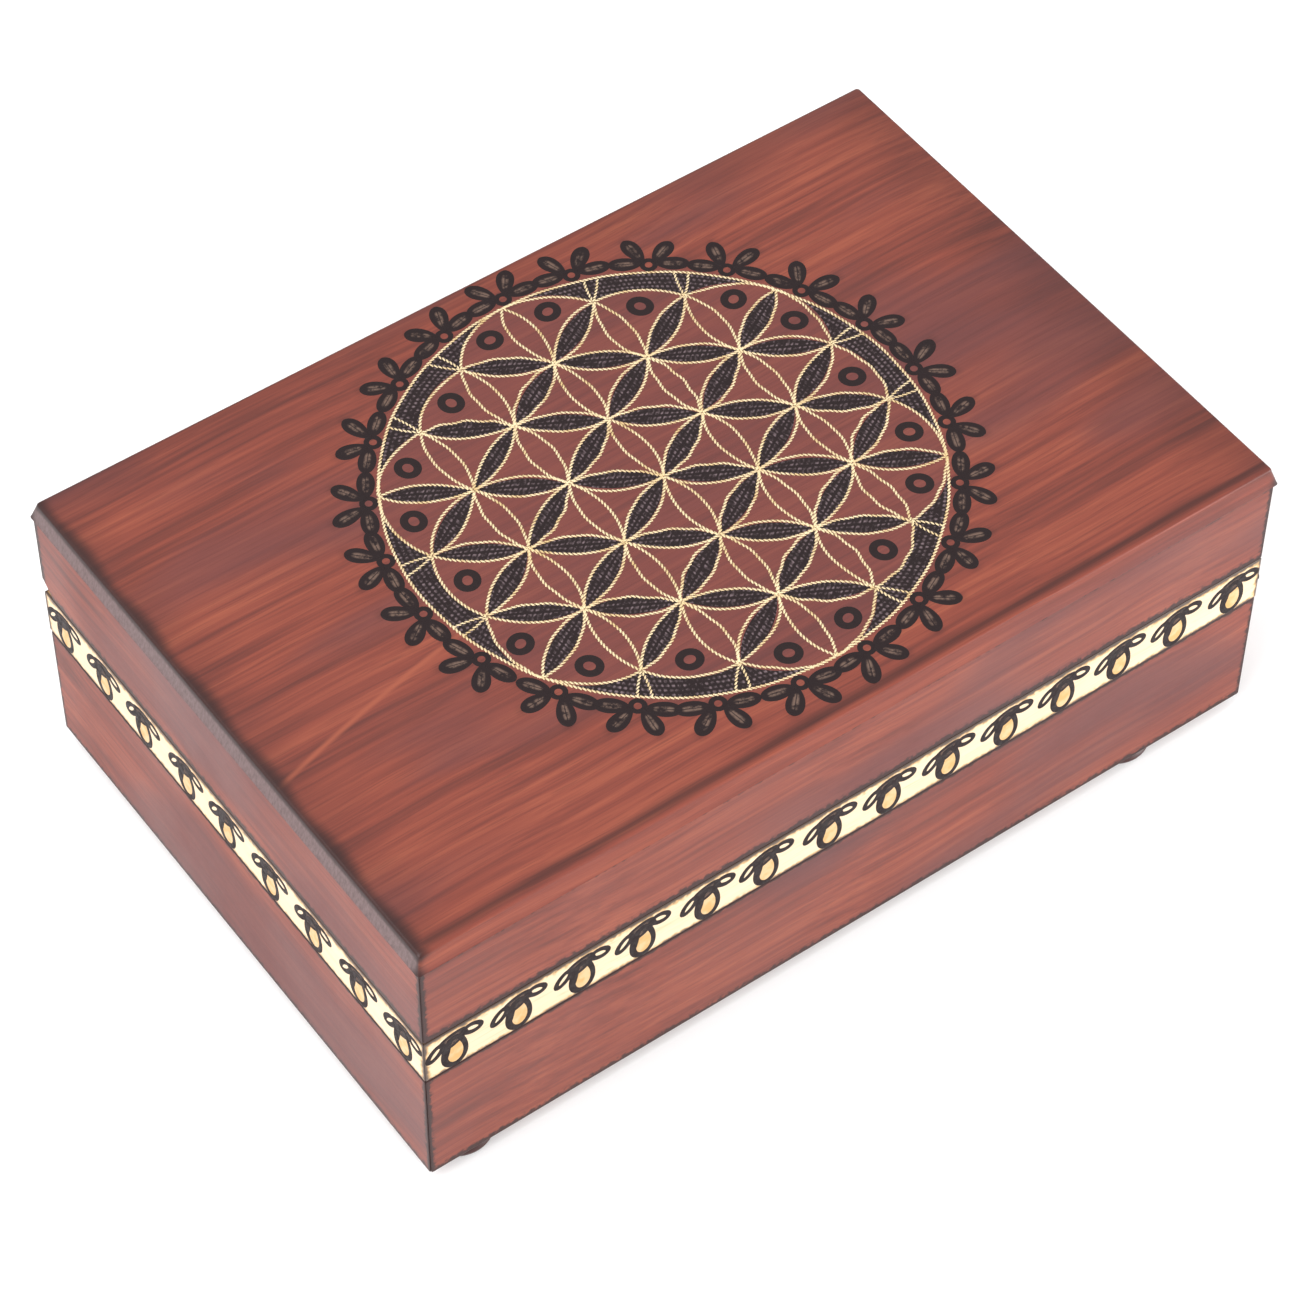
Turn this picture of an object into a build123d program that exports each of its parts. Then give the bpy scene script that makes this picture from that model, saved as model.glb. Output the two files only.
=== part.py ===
from build123d import *
import math
import os

# Hinged wooden keepsake box with a light rim band and a wire-inlaid lid.
# Millimetres, +Z up, front wall towards -Y.  The origin lies on the resting surface,
# under the centre of the box.

# ---- driving dimensions -------------------------------------------------------------
box_length = 220.0            # outside of the carcass, left to right
box_width = 146.0             # outside of the carcass, front to back
base_height = 46.8            # bottom edge to rim of the base
lid_wall_height = 24.0        # lid wall under the lid board
wall = 9.0                    # thickness of the base and lid walls
lid_gap = 0.2                 # reveal between the rim and the closed lid

band_height = 13.0            # light strip let in under the rim
band_depth = 3.0

floor_thickness = 4.0         # bottom panel, flush with the bottom edge of the walls
floor_rebate = 4.5            # how far the panel runs into each wall

board_thickness = 4.6         # lid board, laid over the lid walls
board_overhang = 0.6          # how far its lower edge stands out past the walls
board_bevel_run = 1.2         # how far its edge leans in over the full thickness
board_corner_radius = 1.0     # small rounding of its four upright corners

foot_radius = 8.0
foot_height = 3.5
foot_edge_radius = 0.9
foot_left_lap = 0.3           # how far the left feet reach under the left wall
foot_inset_right = 29.5       # right side to foot centre
foot_inset_depth = 8.5        # front or back face to foot centre

lid_open_angle = 100.0        # the bevelled back edge of the lid lands on the rim here
stop_clearance = 0.08         # left between the bevel and the rim at that angle
hinge_spacing = 130.0         # between the two hinges
leaf_length = 22.0
leaf_margin = 0.9             # wood left inside the inner edge of a leaf
leaf_thickness = 0.8
barrel_radius = 1.2
barrel_inset = 0.5            # back face to the back of the barrels
middle_barrel = 7.8           # length of the barrel that belongs to the lid leaf
barrel_gap = 0.2              # side clearance between neighbouring barrels
barrel_clearance = 0.25       # between a leaf or pocket wall and a turning barrel
pin_radius = 0.6
pin_clearance = 0.04          # radial running fit in the lid's barrel

screw_shank_radius = 0.65
screw_head_radius = 1.3
screw_head_angle = 90.0       # countersink
screw_length = 6.0
screw_slot = 0.35
screw_slot_depth = 0.3
screw_spacing = 14.0          # between the two screws of one leaf

inlay_x = 2.8                 # centre of the wire figure on the lid
inlay_y = 1.3
inlay_pitch = 20.2            # distance between neighbouring circle centres
inlay_rings = 3               # rings of centres around the middle one
wire_width = 0.9
wire_embedded = 0.7           # depth of the groove
wire_proud = 0.15             # how far the wire stands out of the wood
circle_relief = 0.02          # circles are this much under their pitch, so that none are tangent

# ---- derived levels and places ------------------------------------------------------
base_bottom = foot_height
rim = base_bottom + base_height
lid_bottom = rim + lid_gap
board_bottom = lid_bottom + lid_wall_height
lid_top = board_bottom + board_thickness
board_taper = math.degrees(math.atan(board_bevel_run / board_thickness))

half_length = box_length / 2
half_width = box_width / 2
hinge_axis_inset = barrel_radius + barrel_inset   # back face to hinge axis
hinge_y = half_width - hinge_axis_inset
hinge_z = rim + lid_gap / 2
hinge_centres = {"left": -hinge_spacing / 2, "right": hinge_spacing / 2}
leaf_edge = barrel_radius + barrel_clearance      # leaf plate stops this far from the axis
leaf_width = wall - hinge_axis_inset - leaf_margin
screw_offset = (leaf_width + leaf_edge) / 2       # hinge axis to screw centre
pocket_depth = leaf_edge - lid_gap / 2            # knuckle pocket, down from the rim

# The 45 degree bevel along the lower back edge of the lid turns about the hinge axis and
# meets the back edge of the rim when the lid stands open.
bevel_turn = math.radians(135 - lid_open_angle)
bevel_distance = (
    hinge_axis_inset * math.cos(bevel_turn)
    - lid_gap / 2 * math.sin(bevel_turn)
    + stop_clearance
)
back_bevel = hinge_axis_inset - lid_gap / 2 + math.sqrt(2) * bevel_distance

up = Vector(0, 0, 1)
front_left = Vector(-half_length, -half_width, 0)
front_right = Vector(half_length, -half_width, 0)
back_right = Vector(half_length, half_width, 0)
back_left = Vector(-half_length, half_width, 0)
corners = {
    "front": (front_left, front_right),
    "right": (front_right, back_right),
    "back": (back_right, back_left),
    "left": (back_left, front_left),
}

os.makedirs("parts", exist_ok=True)


def save(part, name):
    """Label a finished piece and write it as one STEP file."""
    part.label = name
    export_step(part, f"parts/{name}.step")


def mitred_rail(outline, side):
    """A rail along one side of the box, mitred at both ends.
    The outline is drawn with x inwards from the outer face and y upwards."""
    start, end = corners[side]
    along = (end - start).normalized()
    inward = up.cross(along)
    with BuildPart() as rail:
        with BuildSketch(Plane(origin=start, x_dir=inward, z_dir=along)):
            with BuildLine():
                Polyline(*outline, close=True)
            make_face()
        extrude(amount=(end - start).length)
        split(bisect_by=Plane(origin=start, z_dir=along - inward), keep=Keep.TOP)
        split(bisect_by=Plane(origin=end, z_dir=inward * -1 - along), keep=Keep.TOP)
    return rail.part


def hinge_face(x, z, facing):
    """Plane on a leaf's outer face at one hinge: local x along the box, local z = facing."""
    return Plane(origin=(x, hinge_y, z), x_dir=(1, 0, 0), z_dir=(0, 0, facing))


# ---- base walls ---------------------------------------------------------------------
band_bottom = rim - band_height
base_outline = [
    (0, base_bottom),
    (wall - floor_rebate, base_bottom),
    (wall - floor_rebate, base_bottom + floor_thickness),
    (wall, base_bottom + floor_thickness),
    (wall, rim),
    (band_depth, rim),
    (band_depth, band_bottom),
    (0, band_bottom),
]
band_outline = [(0, band_bottom), (band_depth, band_bottom), (band_depth, rim), (0, rim)]

leaf_middle = -(leaf_width + leaf_edge) / 2       # plate centre, measured from the axis
leaf_depth = leaf_width - leaf_edge
knuckle_depth = leaf_edge + hinge_axis_inset      # pocket from the plate to the back face
knuckle_middle = (hinge_axis_inset - leaf_edge) / 2
mortise_depth = leaf_width + hinge_axis_inset     # the lid's mortise runs out at the back face
mortise_middle = (hinge_axis_inset - leaf_width) / 2

for side in corners:
    with BuildPart() as base_wall:
        add(mitred_rail(base_outline, side))
        if side == "back":
            for x in hinge_centres.values():
                with BuildSketch(Plane((x, hinge_y, rim))):
                    with Locations((0, leaf_middle)):
                        Rectangle(leaf_length, leaf_depth)
                extrude(amount=-leaf_thickness, mode=Mode.SUBTRACT)
                with BuildSketch(Plane((x, hinge_y, rim))):
                    with Locations((0, knuckle_middle)):
                        Rectangle(leaf_length, knuckle_depth)
                extrude(amount=-pocket_depth, mode=Mode.SUBTRACT)
                with BuildSketch(Plane((x, hinge_y, rim))):
                    with Locations((0, -screw_offset)):
                        with GridLocations(screw_spacing, 0, 2, 1):
                            Circle(screw_shank_radius)
                extrude(amount=-screw_length, mode=Mode.SUBTRACT)
    save(base_wall.part, f"base_{side}")

    with BuildPart() as band:
        add(mitred_rail(band_outline, side))
        if side == "back":
            for x in hinge_centres.values():
                with BuildSketch(Plane((x, hinge_y, rim))):
                    with Locations((0, knuckle_middle)):
                        Rectangle(leaf_length, knuckle_depth)
                extrude(amount=-pocket_depth, mode=Mode.SUBTRACT)
    save(band.part, f"band_{side}")

# ---- bottom panel -------------------------------------------------------------------
floor_margin = 2 * (wall - floor_rebate)
with BuildPart() as base_floor:
    with BuildSketch(Plane.XY.offset(base_bottom)):
        Rectangle(box_length - floor_margin, box_width - floor_margin)
    extrude(amount=floor_thickness)
save(base_floor.part, "base_floor")

# ---- feet: flat turned discs glued under the corners --------------------------------
foot_inset_left = foot_radius + wall - floor_rebate - foot_left_lap
foot_x = {"left": foot_inset_left - half_length, "right": half_length - foot_inset_right}
foot_y = {"front": foot_inset_depth - half_width, "back": half_width - foot_inset_depth}
for end, y in foot_y.items():
    for side, x in foot_x.items():
        with BuildPart() as foot:
            with BuildSketch(Plane.XY):
                with Locations((x, y)):
                    Circle(foot_radius)
            extrude(amount=foot_height)
            fillet(foot.edges().group_by(Axis.Z)[0], foot_edge_radius)
        save(foot.part, f"foot_{end}_{side}")

# ---- lid walls ----------------------------------------------------------------------
lid_outline = [(0, lid_bottom), (wall, lid_bottom), (wall, board_bottom), (0, board_bottom)]
for side in corners:
    with BuildPart() as lid_wall:
        add(mitred_rail(lid_outline, side))
        if side != "front":
            with BuildSketch(Plane.YZ.offset(-half_length)):
                with BuildLine():
                    Polyline(
                        (half_width - back_bevel, lid_bottom),
                        (half_width, lid_bottom),
                        (half_width, lid_bottom + back_bevel),
                        close=True,
                    )
                make_face()
            extrude(amount=box_length, mode=Mode.SUBTRACT)
        if side == "back":
            for x in hinge_centres.values():
                with BuildSketch(Plane((x, hinge_y, lid_bottom))):
                    with Locations((0, mortise_middle)):
                        Rectangle(leaf_length, mortise_depth)
                extrude(amount=leaf_thickness, mode=Mode.SUBTRACT)
                with BuildSketch(Plane((x, hinge_y, lid_bottom))):
                    with Locations((0, -screw_offset)):
                        with GridLocations(screw_spacing, 0, 2, 1):
                            Circle(screw_shank_radius)
                extrude(amount=screw_length, mode=Mode.SUBTRACT)
    save(lid_wall.part, f"lid_{side}")

# ---- wire figure: overlapping circles on a triangular grid, held in by a ring --------
inlay_radius = inlay_rings * inlay_pitch
groove_floor = lid_top - wire_embedded
wire_height = wire_embedded + wire_proud
circle_radius = inlay_pitch - circle_relief
row_pitch = inlay_pitch * math.sin(math.radians(60))
circle_centres = [
    (inlay_x + row_pitch * i, inlay_y + inlay_pitch * (j + i / 2))
    for i in range(-inlay_rings, inlay_rings + 1)
    for j in range(-inlay_rings, inlay_rings + 1)
    if abs(i + j) <= inlay_rings
]

with BuildSketch() as wire_circle:
    Circle(circle_radius + wire_width / 2)
    Circle(circle_radius - wire_width / 2, mode=Mode.SUBTRACT)

with BuildSketch() as lattice_plan:
    with Locations(*circle_centres):
        add(wire_circle.sketch)
    with Locations((inlay_x, inlay_y)):
        Circle(inlay_radius - wire_width / 2, mode=Mode.INTERSECT)

with BuildPart() as inlay_lattice:
    with BuildSketch(Plane.XY.offset(groove_floor)):
        add(lattice_plan.sketch)
    extrude(amount=wire_height)
save(inlay_lattice.part, "inlay_lattice")

with BuildPart() as inlay_ring:
    with BuildSketch(Plane.XY.offset(groove_floor)):
        with Locations((inlay_x, inlay_y)):
            Circle(inlay_radius + wire_width / 2)
            Circle(inlay_radius - wire_width / 2, mode=Mode.SUBTRACT)
    extrude(amount=wire_height)
save(inlay_ring.part, "inlay_ring")

# ---- lid board, with the grooves for the wire ----------------------------------------
with BuildPart() as lid_board:
    with BuildSketch(Plane.XY.offset(board_bottom)):
        RectangleRounded(
            box_length + 2 * board_overhang,
            box_width + 2 * board_overhang,
            board_corner_radius + board_bevel_run,
        )
    extrude(amount=board_thickness, taper=board_taper)
    with BuildSketch(Plane.XY.offset(groove_floor)):
        with Locations((inlay_x, inlay_y)):
            Circle(inlay_radius + wire_width / 2)
            Circle(inlay_radius - wire_width / 2, mode=Mode.SUBTRACT)
        add(lattice_plan.sketch)
    extrude(amount=wire_embedded, mode=Mode.SUBTRACT)
save(lid_board.part, "lid_board")

# ---- hinges: two small butt hinges, three barrels each -------------------------------
outer_barrel = (leaf_length - middle_barrel) / 2 - barrel_gap
outer_barrel_x = (middle_barrel + outer_barrel) / 2 + barrel_gap
middle_notch = middle_barrel + 2 * barrel_gap

for side, x in hinge_centres.items():
    axis_plane = Plane(origin=(x, hinge_y, hinge_z), x_dir=(0, 1, 0), z_dir=(1, 0, 0))

    with BuildPart() as base_leaf:
        with BuildSketch(Plane((x, hinge_y, rim))):
            with Locations((0, leaf_middle)):
                Rectangle(leaf_length, leaf_depth)
            with Locations((-outer_barrel_x, -leaf_edge / 2), (outer_barrel_x, -leaf_edge / 2)):
                Rectangle(outer_barrel, leaf_edge)
        extrude(amount=-leaf_thickness)
        for start in (-leaf_length / 2, middle_notch / 2):
            with BuildSketch(axis_plane.offset(start)):
                Circle(barrel_radius)
            extrude(amount=outer_barrel)
        with BuildSketch(axis_plane.offset(-leaf_length / 2)):
            Circle(pin_radius)
        extrude(amount=leaf_length, mode=Mode.SUBTRACT)
        with Locations(hinge_face(x, rim, 1)):
            with Locations((-screw_spacing / 2, -screw_offset), (screw_spacing / 2, -screw_offset)):
                CounterSinkHole(
                    screw_shank_radius, screw_head_radius, leaf_thickness, screw_head_angle
                )
    save(base_leaf.part, f"hinge_base_leaf_{side}")

    with BuildPart() as lid_leaf:
        with BuildSketch(Plane((x, hinge_y, lid_bottom))):
            with Locations((0, leaf_middle)):
                Rectangle(leaf_length, leaf_depth)
            with Locations((0, -leaf_edge / 2)):
                Rectangle(middle_barrel, leaf_edge)
        extrude(amount=leaf_thickness)
        with BuildSketch(axis_plane.offset(-middle_barrel / 2)):
            Circle(barrel_radius)
        extrude(amount=middle_barrel)
        with BuildSketch(axis_plane.offset(-leaf_length / 2)):
            Circle(pin_radius + pin_clearance)
        extrude(amount=leaf_length, mode=Mode.SUBTRACT)
        with Locations(hinge_face(x, lid_bottom, -1)):
            with Locations((-screw_spacing / 2, screw_offset), (screw_spacing / 2, screw_offset)):
                CounterSinkHole(
                    screw_shank_radius, screw_head_radius, leaf_thickness, screw_head_angle
                )
    save(lid_leaf.part, f"hinge_lid_leaf_{side}")

    with BuildPart() as pin:
        with BuildSketch(axis_plane.offset(-leaf_length / 2)):
            Circle(pin_radius)
        extrude(amount=leaf_length)
    save(pin.part, f"hinge_pin_{side}")

# ---- hinge screws: countersunk, slotted, two in each leaf ----------------------------
screw_profile = [
    (0, 0),
    (screw_head_radius, 0),
    (screw_shank_radius, screw_shank_radius - screw_head_radius),
    (screw_shank_radius, -screw_length),
    (0, -screw_length),
]
for body, level, facing in (("base", rim, 1), ("lid", lid_bottom, -1)):
    with BuildPart() as screws:
        for x in hinge_centres.values():
            for step in (-screw_spacing / 2, screw_spacing / 2):
                centre = (x + step, hinge_y - screw_offset, level)
                with BuildSketch(Plane(origin=centre, x_dir=(1, 0, 0), z_dir=(0, -facing, 0))):
                    with BuildLine():
                        Polyline(*screw_profile, close=True)
                    make_face()
                revolve(axis=Axis(centre, (0, 0, 1)))
                with BuildSketch(Plane(centre)):
                    Rectangle(2 * screw_head_radius, screw_slot)
                extrude(amount=-facing * screw_slot_depth, mode=Mode.SUBTRACT)
    save(screws.part, f"hinge_screws_{body}")
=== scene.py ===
"""A hinged wooden keepsake box: stained, burnt and inlaid with fine twisted wire.

Every surface is a formula on a grid of two parameters.  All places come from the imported
frame; lengths are metres."""

import math

import bmesh
import bpy
import numpy as np
from mathutils import Matrix, Vector


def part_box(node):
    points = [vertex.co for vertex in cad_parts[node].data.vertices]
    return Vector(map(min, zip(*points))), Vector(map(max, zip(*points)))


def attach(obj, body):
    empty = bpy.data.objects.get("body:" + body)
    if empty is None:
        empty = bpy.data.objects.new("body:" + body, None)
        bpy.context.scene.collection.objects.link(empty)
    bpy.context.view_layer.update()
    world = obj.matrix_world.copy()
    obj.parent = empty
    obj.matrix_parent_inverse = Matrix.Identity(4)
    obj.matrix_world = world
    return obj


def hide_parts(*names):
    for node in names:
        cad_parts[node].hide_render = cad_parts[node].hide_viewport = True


bl_info = {
    "name": "Inlaid keepsake box",
    "version": (1, 0, 0),
    "blender": (4, 5, 0),
    "location": "View3D > Sidebar > Keepsake box",
    "description": "Builds the wood, burnt ornament and wire inlay of a hinged keepsake box",
    "category": "Add Mesh",
}

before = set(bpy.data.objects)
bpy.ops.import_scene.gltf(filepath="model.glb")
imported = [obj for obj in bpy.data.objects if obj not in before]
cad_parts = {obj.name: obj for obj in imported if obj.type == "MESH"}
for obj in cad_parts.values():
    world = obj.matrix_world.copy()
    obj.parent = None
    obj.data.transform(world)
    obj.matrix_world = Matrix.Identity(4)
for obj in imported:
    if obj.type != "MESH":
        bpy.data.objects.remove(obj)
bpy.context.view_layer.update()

MM = 0.001
SIDES = ("front", "right", "back", "left")
WIRE_FLATTEN = 0.36           # a hammered wire's height as a share of its width
SINK = 0.1 * MM               # how far ornament reaches into the wood below it
MERGE_GAP = 0.002 * MM        # points closer than this are one point
GRID_STEP = 0.95 * MM         # spacing of the points on top of the lid board
BORDER_SEED = 5               # the border and its halo on the board draw the same drops
CIRCLE_RINGS = 3              # rings of circles round the middle one; the char fits three
CHAR_MARGIN = 0.36 * MM       # a petal's char ends this far from a wire's centre line
CRESCENT_MARGIN = 0.3 * MM    # and a crescent's char this far


def tone(red, green, blue):
    """Linear colour of a tint given in display steps from 0 to 255."""
    steps = np.array([red, green, blue]) / 255
    linear = np.where(steps <= 0.04045, steps / 12.92, ((steps + 0.055) / 1.055) ** 2.4)
    return tuple(float(value) for value in linear)


# ---- places that the frame gives ----------------------------------------------------
board_low, board_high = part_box("lid_board")
ring_low, ring_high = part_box("inlay_ring")
wall_low, wall_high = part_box("base_front")
band_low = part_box("band_front")[0]
lid_low, lid_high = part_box("lid_front")

half_length = wall_high.x
half_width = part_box("base_back")[1].y
rim = wall_high.z
lid_bottom = lid_low.z
lid_top = board_high.z
wire_top = ring_high.z
figure_centre = np.array([(ring_low.x + ring_high.x) / 2, (ring_low.y + ring_high.y) / 2])
ring_outside = (ring_high.x - ring_low.x) / 2


class BoxSizes(bpy.types.PropertyGroup):
    """Sizes of the finish that a user may change; the carcass keeps the frame's sizes."""

    wire_width: bpy.props.FloatProperty(
        name="Wire width", description="Width of the twisted wire", default=1.0 * MM,
        min=0.4 * MM, max=1.2 * MM, unit="LENGTH", precision=5)
    wire_lay: bpy.props.FloatProperty(
        name="Wire lay", description="Length of one full turn of the twisted wire",
        default=2.0 * MM, min=1.0 * MM, max=4.0 * MM, unit="LENGTH", precision=5)
    wire_wander: bpy.props.FloatProperty(
        name="Wire wander", description="How far a hand-laid wire strays from its line",
        default=0.22 * MM, min=0.0, max=0.4 * MM, unit="LENGTH", precision=5)
    burn_height: bpy.props.FloatProperty(
        name="Burnt relief", description="How far charred ornament stands out of the wood",
        default=0.07 * MM, min=0.02 * MM, max=0.14 * MM, unit="LENGTH", precision=5)
    arris: bpy.props.FloatProperty(
        name="Arris", description="Radius of the sanded edges of the walls",
        default=0.55 * MM, min=0.2 * MM, max=1.2 * MM, unit="LENGTH", precision=5)
    board_arris: bpy.props.FloatProperty(
        name="Board arris", description="Radius of the sanded top edge of the lid board",
        default=0.7 * MM, min=0.2 * MM, max=1.5 * MM, unit="LENGTH", precision=5)
    border_motifs: bpy.props.IntProperty(
        name="Border motifs", description="Burnt petal pairs around the ring",
        default=23, min=8, max=40)
    front_motifs: bpy.props.IntProperty(
        name="Front band motifs", description="Burnt buds along the front and back bands",
        default=14, min=4, max=24)
    side_motifs: bpy.props.IntProperty(
        name="Side band motifs", description="Burnt buds along the left and right bands",
        default=9, min=3, max=16)


def colour(name, description, default):
    """A colour setting with the usual picker."""
    return bpy.props.FloatVectorProperty(
        name=name, description=description, default=default, min=0.0, max=1.0, size=3,
        subtype="COLOR")


class BoxColours(bpy.types.PropertyGroup):
    """Tints of the woods, the char and the metals."""

    stain_dark: colour("Dark stain", "Stained wood in its darkest streaks", tone(88, 42, 36))
    stain: colour("Stain", "Stained wood in its usual tint", tone(124, 58, 45))
    stain_light: colour("Light stain", "Stained wood in its palest streaks", tone(148, 77, 56))
    mauve: colour("Mauve cast", "Cooler patches of the stain", tone(94, 52, 52))
    char: colour("Char", "Burnt wood", tone(34, 24, 25))
    scorch: colour("Scorch", "Brown halo beside burnt marks", tone(42, 21, 20))
    light_wood: colour("Light wood", "Unstained wood of the rim band", tone(234, 208, 176))
    amber: colour("Amber", "Lightly scorched fill of the buds", tone(206, 156, 84))
    panel: colour("Panel", "Wood of the bottom panel", tone(176, 134, 94))
    foot: colour("Feet", "Stained turned feet", tone(70, 32, 30))
    wire: colour("Wire", "Pale brass of the twisted wire", tone(240, 219, 176))
    hinge: colour("Hinge", "Plain brass of the hinges", tone(214, 176, 104))


# ---- meshes from grids --------------------------------------------------------------
def grid_faces(rows, columns, close_columns=False):
    """Four-sided faces of a grid stored row by row; closed columns join last to first."""
    row, column = np.meshgrid(
        np.arange(rows - 1), np.arange(columns if close_columns else columns - 1),
        indexing="ij")
    after = (column + 1) % columns
    corners = [row * columns + column, row * columns + after,
               (row + 1) * columns + after, (row + 1) * columns + column]
    return np.stack(corners, -1).reshape(-1, 4)


def stack_grids(grids, close_columns=True, close_rows=False):
    """Points and faces of many grids of one size, given as count x rows x columns x 3.
    With close_rows the last row joins the first one too, as on a ring."""
    if close_rows:
        grids = np.concatenate([grids, grids[:, :1]], 1)
    count, rows, columns = grids.shape[:3]
    faces = grid_faces(rows, columns, close_columns)
    offsets = np.arange(count)[:, None, None] * rows * columns
    return grids.reshape(-1, 3), (faces[None] + offsets).reshape(-1, 4)


def merge_shells(shells):
    """Several (points, faces, marks) sets as one.  Faces are one array, or a list of
    arrays of one side count each; a shell may lack a mark that others have."""
    points, faces, marks = [], [], {}
    start = 0
    names = sorted({name for shell in shells for name in shell[2]})
    for shell_points, shell_faces, shell_marks in shells:
        points.append(shell_points)
        for block in shell_faces if isinstance(shell_faces, list) else [shell_faces]:
            faces.extend((block + start).tolist())
        for name in names:
            blank = np.zeros(len(shell_points))
            marks.setdefault(name, []).append(np.ravel(shell_marks.get(name, blank)))
        start += len(shell_points)
    marks = {name: np.concatenate(values) for name, values in marks.items()}
    return np.concatenate(points), faces, marks


def make_piece(name, shells, material, body, stands_for=(), sharp=math.radians(40)):
    """One finished object: the shells are joined, their doubles merged and their faces
    turned outwards.  Marks become point attributes.  It takes the place of the nodes in
    stands_for, if there are any."""
    points, faces, marks = merge_shells(shells)
    mesh = bpy.data.meshes.new(name)
    mesh.from_pydata(points.tolist(), [], faces)
    for mark, values in marks.items():
        layer = mesh.attributes.new(mark, "FLOAT", "POINT")
        layer.data.foreach_set("value", values.astype(np.float32))
    work = bmesh.new()
    work.from_mesh(mesh)
    bmesh.ops.remove_doubles(work, verts=work.verts, dist=MERGE_GAP)
    bmesh.ops.dissolve_degenerate(work, edges=work.edges, dist=0.001 * MM)
    bmesh.ops.recalc_face_normals(work, faces=work.faces)
    work.to_mesh(mesh)
    work.free()
    mesh.polygons.foreach_set("use_smooth", np.ones(len(mesh.polygons), bool))
    mesh.set_sharp_from_angle(angle=sharp)
    mesh.materials.append(material)
    piece = bpy.data.objects.new(name, mesh)
    bpy.context.scene.collection.objects.link(piece)
    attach(piece, body)
    if stands_for:
        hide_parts(*stands_for)
    return piece


class Face:
    """A flat side that ornament is laid on: a is measured along it, b up it, h out of it."""

    def __init__(self, origin, along, rise):
        self.origin = np.array(origin, float)
        self.along = np.array(along, float)
        self.rise = np.array(rise, float)
        self.out = np.cross(self.along, self.rise)

    def place(self, a, b, h):
        """Points in the frame from whole arrays of a, b and h."""
        a, b, h = np.broadcast_arrays(a, b, h)
        return (self.origin + a[..., None] * self.along + b[..., None] * self.rise
                + h[..., None] * self.out)


lid_face = Face((0, 0, lid_top), (1, 0, 0), (0, 1, 0))
band_faces = {
    "front": Face((0, -half_width, 0), (1, 0, 0), (0, 0, 1)),
    "right": Face((half_length, 0, 0), (0, 1, 0), (0, 0, 1)),
    "back": Face((0, half_width, 0), (-1, 0, 0), (0, 0, 1)),
    "left": Face((-half_length, 0, 0), (0, -1, 0), (0, 0, 1)),
}


def strip_shells(face, left, right, tops, across, marks, ring=False):
    """Low pads between two edge lines, given as count x steps x 2 points on the face.
    A pad runs from the left line to the right one at the shares in across, at the
    heights in tops, and returns underneath at -SINK.  Lines that meet at the ends close
    the pad to a point; a ring's lines close on themselves."""
    share = np.asarray(across)[None, None, :, None]
    upper = left[:, :, None] * (1 - share) + right[:, :, None] * share
    under = upper[:, :, ::-1]
    plan = np.concatenate([upper, under], 2)
    heights = np.concatenate([tops, np.full_like(tops, -SINK)], 2)
    grids = face.place(plan[..., 0], plan[..., 1], heights)
    spread = {key: np.concatenate([value, value[:, :, ::-1]], 2)
              for key, value in marks.items()}
    if ring:
        spread = {key: np.concatenate([value, value[:, :1]], 1)
                  for key, value in spread.items()}
    points, faces = stack_grids(grids, close_rows=ring)
    return points, faces, {key: value.ravel() for key, value in spread.items()}


def soft_profile(across, flank=0.12):
    """Cross-section of a pad: 0 at both edges, rising to 1 over the flank share."""
    across = np.asarray(across)
    return np.sqrt(np.clip(np.minimum(across, 1 - across) / flank, 0, 1))


# ---- wooden pieces ------------------------------------------------------------------
def near(distance, width):
    """1 at no distance, falling away smoothly over the given width."""
    return np.exp(-np.square(distance / width))


def eased_copy(node, material, body, arris, shortest):
    """A copy of a wall or panel with its arrises sanded round.  The loose triangles of
    the node are merged and its flat faces joined; each edge longer than the shortest
    length given is rounded with the arris radius."""
    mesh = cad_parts[node].data.copy()
    work = bmesh.new()
    work.from_mesh(mesh)
    bmesh.ops.remove_doubles(work, verts=work.verts, dist=MERGE_GAP)
    bmesh.ops.dissolve_limit(
        work, angle_limit=math.radians(0.5), verts=work.verts, edges=work.edges)
    bmesh.ops.recalc_face_normals(work, faces=work.faces)
    work.to_mesh(mesh)
    work.free()
    mesh.name = node + "_wood"
    ends = np.zeros(len(mesh.edges) * 2, np.int32)
    mesh.edges.foreach_get("vertices", ends)
    places = np.zeros(len(mesh.vertices) * 3)
    mesh.vertices.foreach_get("co", places)
    spans = places.reshape(-1, 3)[ends.reshape(-1, 2)]
    lengths = np.linalg.norm(spans[:, 1] - spans[:, 0], axis=1)
    weight = mesh.attributes.new("bevel_weight_edge", "FLOAT", "EDGE")
    weight.data.foreach_set("value", (lengths > shortest).astype(np.float32))
    mesh.polygons.foreach_set("use_smooth", np.ones(len(mesh.polygons), bool))
    mesh.set_sharp_from_angle(angle=math.radians(28))
    mesh.materials.clear()
    mesh.materials.append(material)
    piece = bpy.data.objects.new(node + "_wood", mesh)
    bpy.context.scene.collection.objects.link(piece)
    easing = piece.modifiers.new("eased_arrises", "BEVEL")
    easing.limit_method = "WEIGHT"
    easing.width = arris
    easing.segments = 3
    easing.use_clamp_overlap = False
    easing.harden_normals = True
    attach(piece, body)
    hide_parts(node)
    return piece


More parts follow.
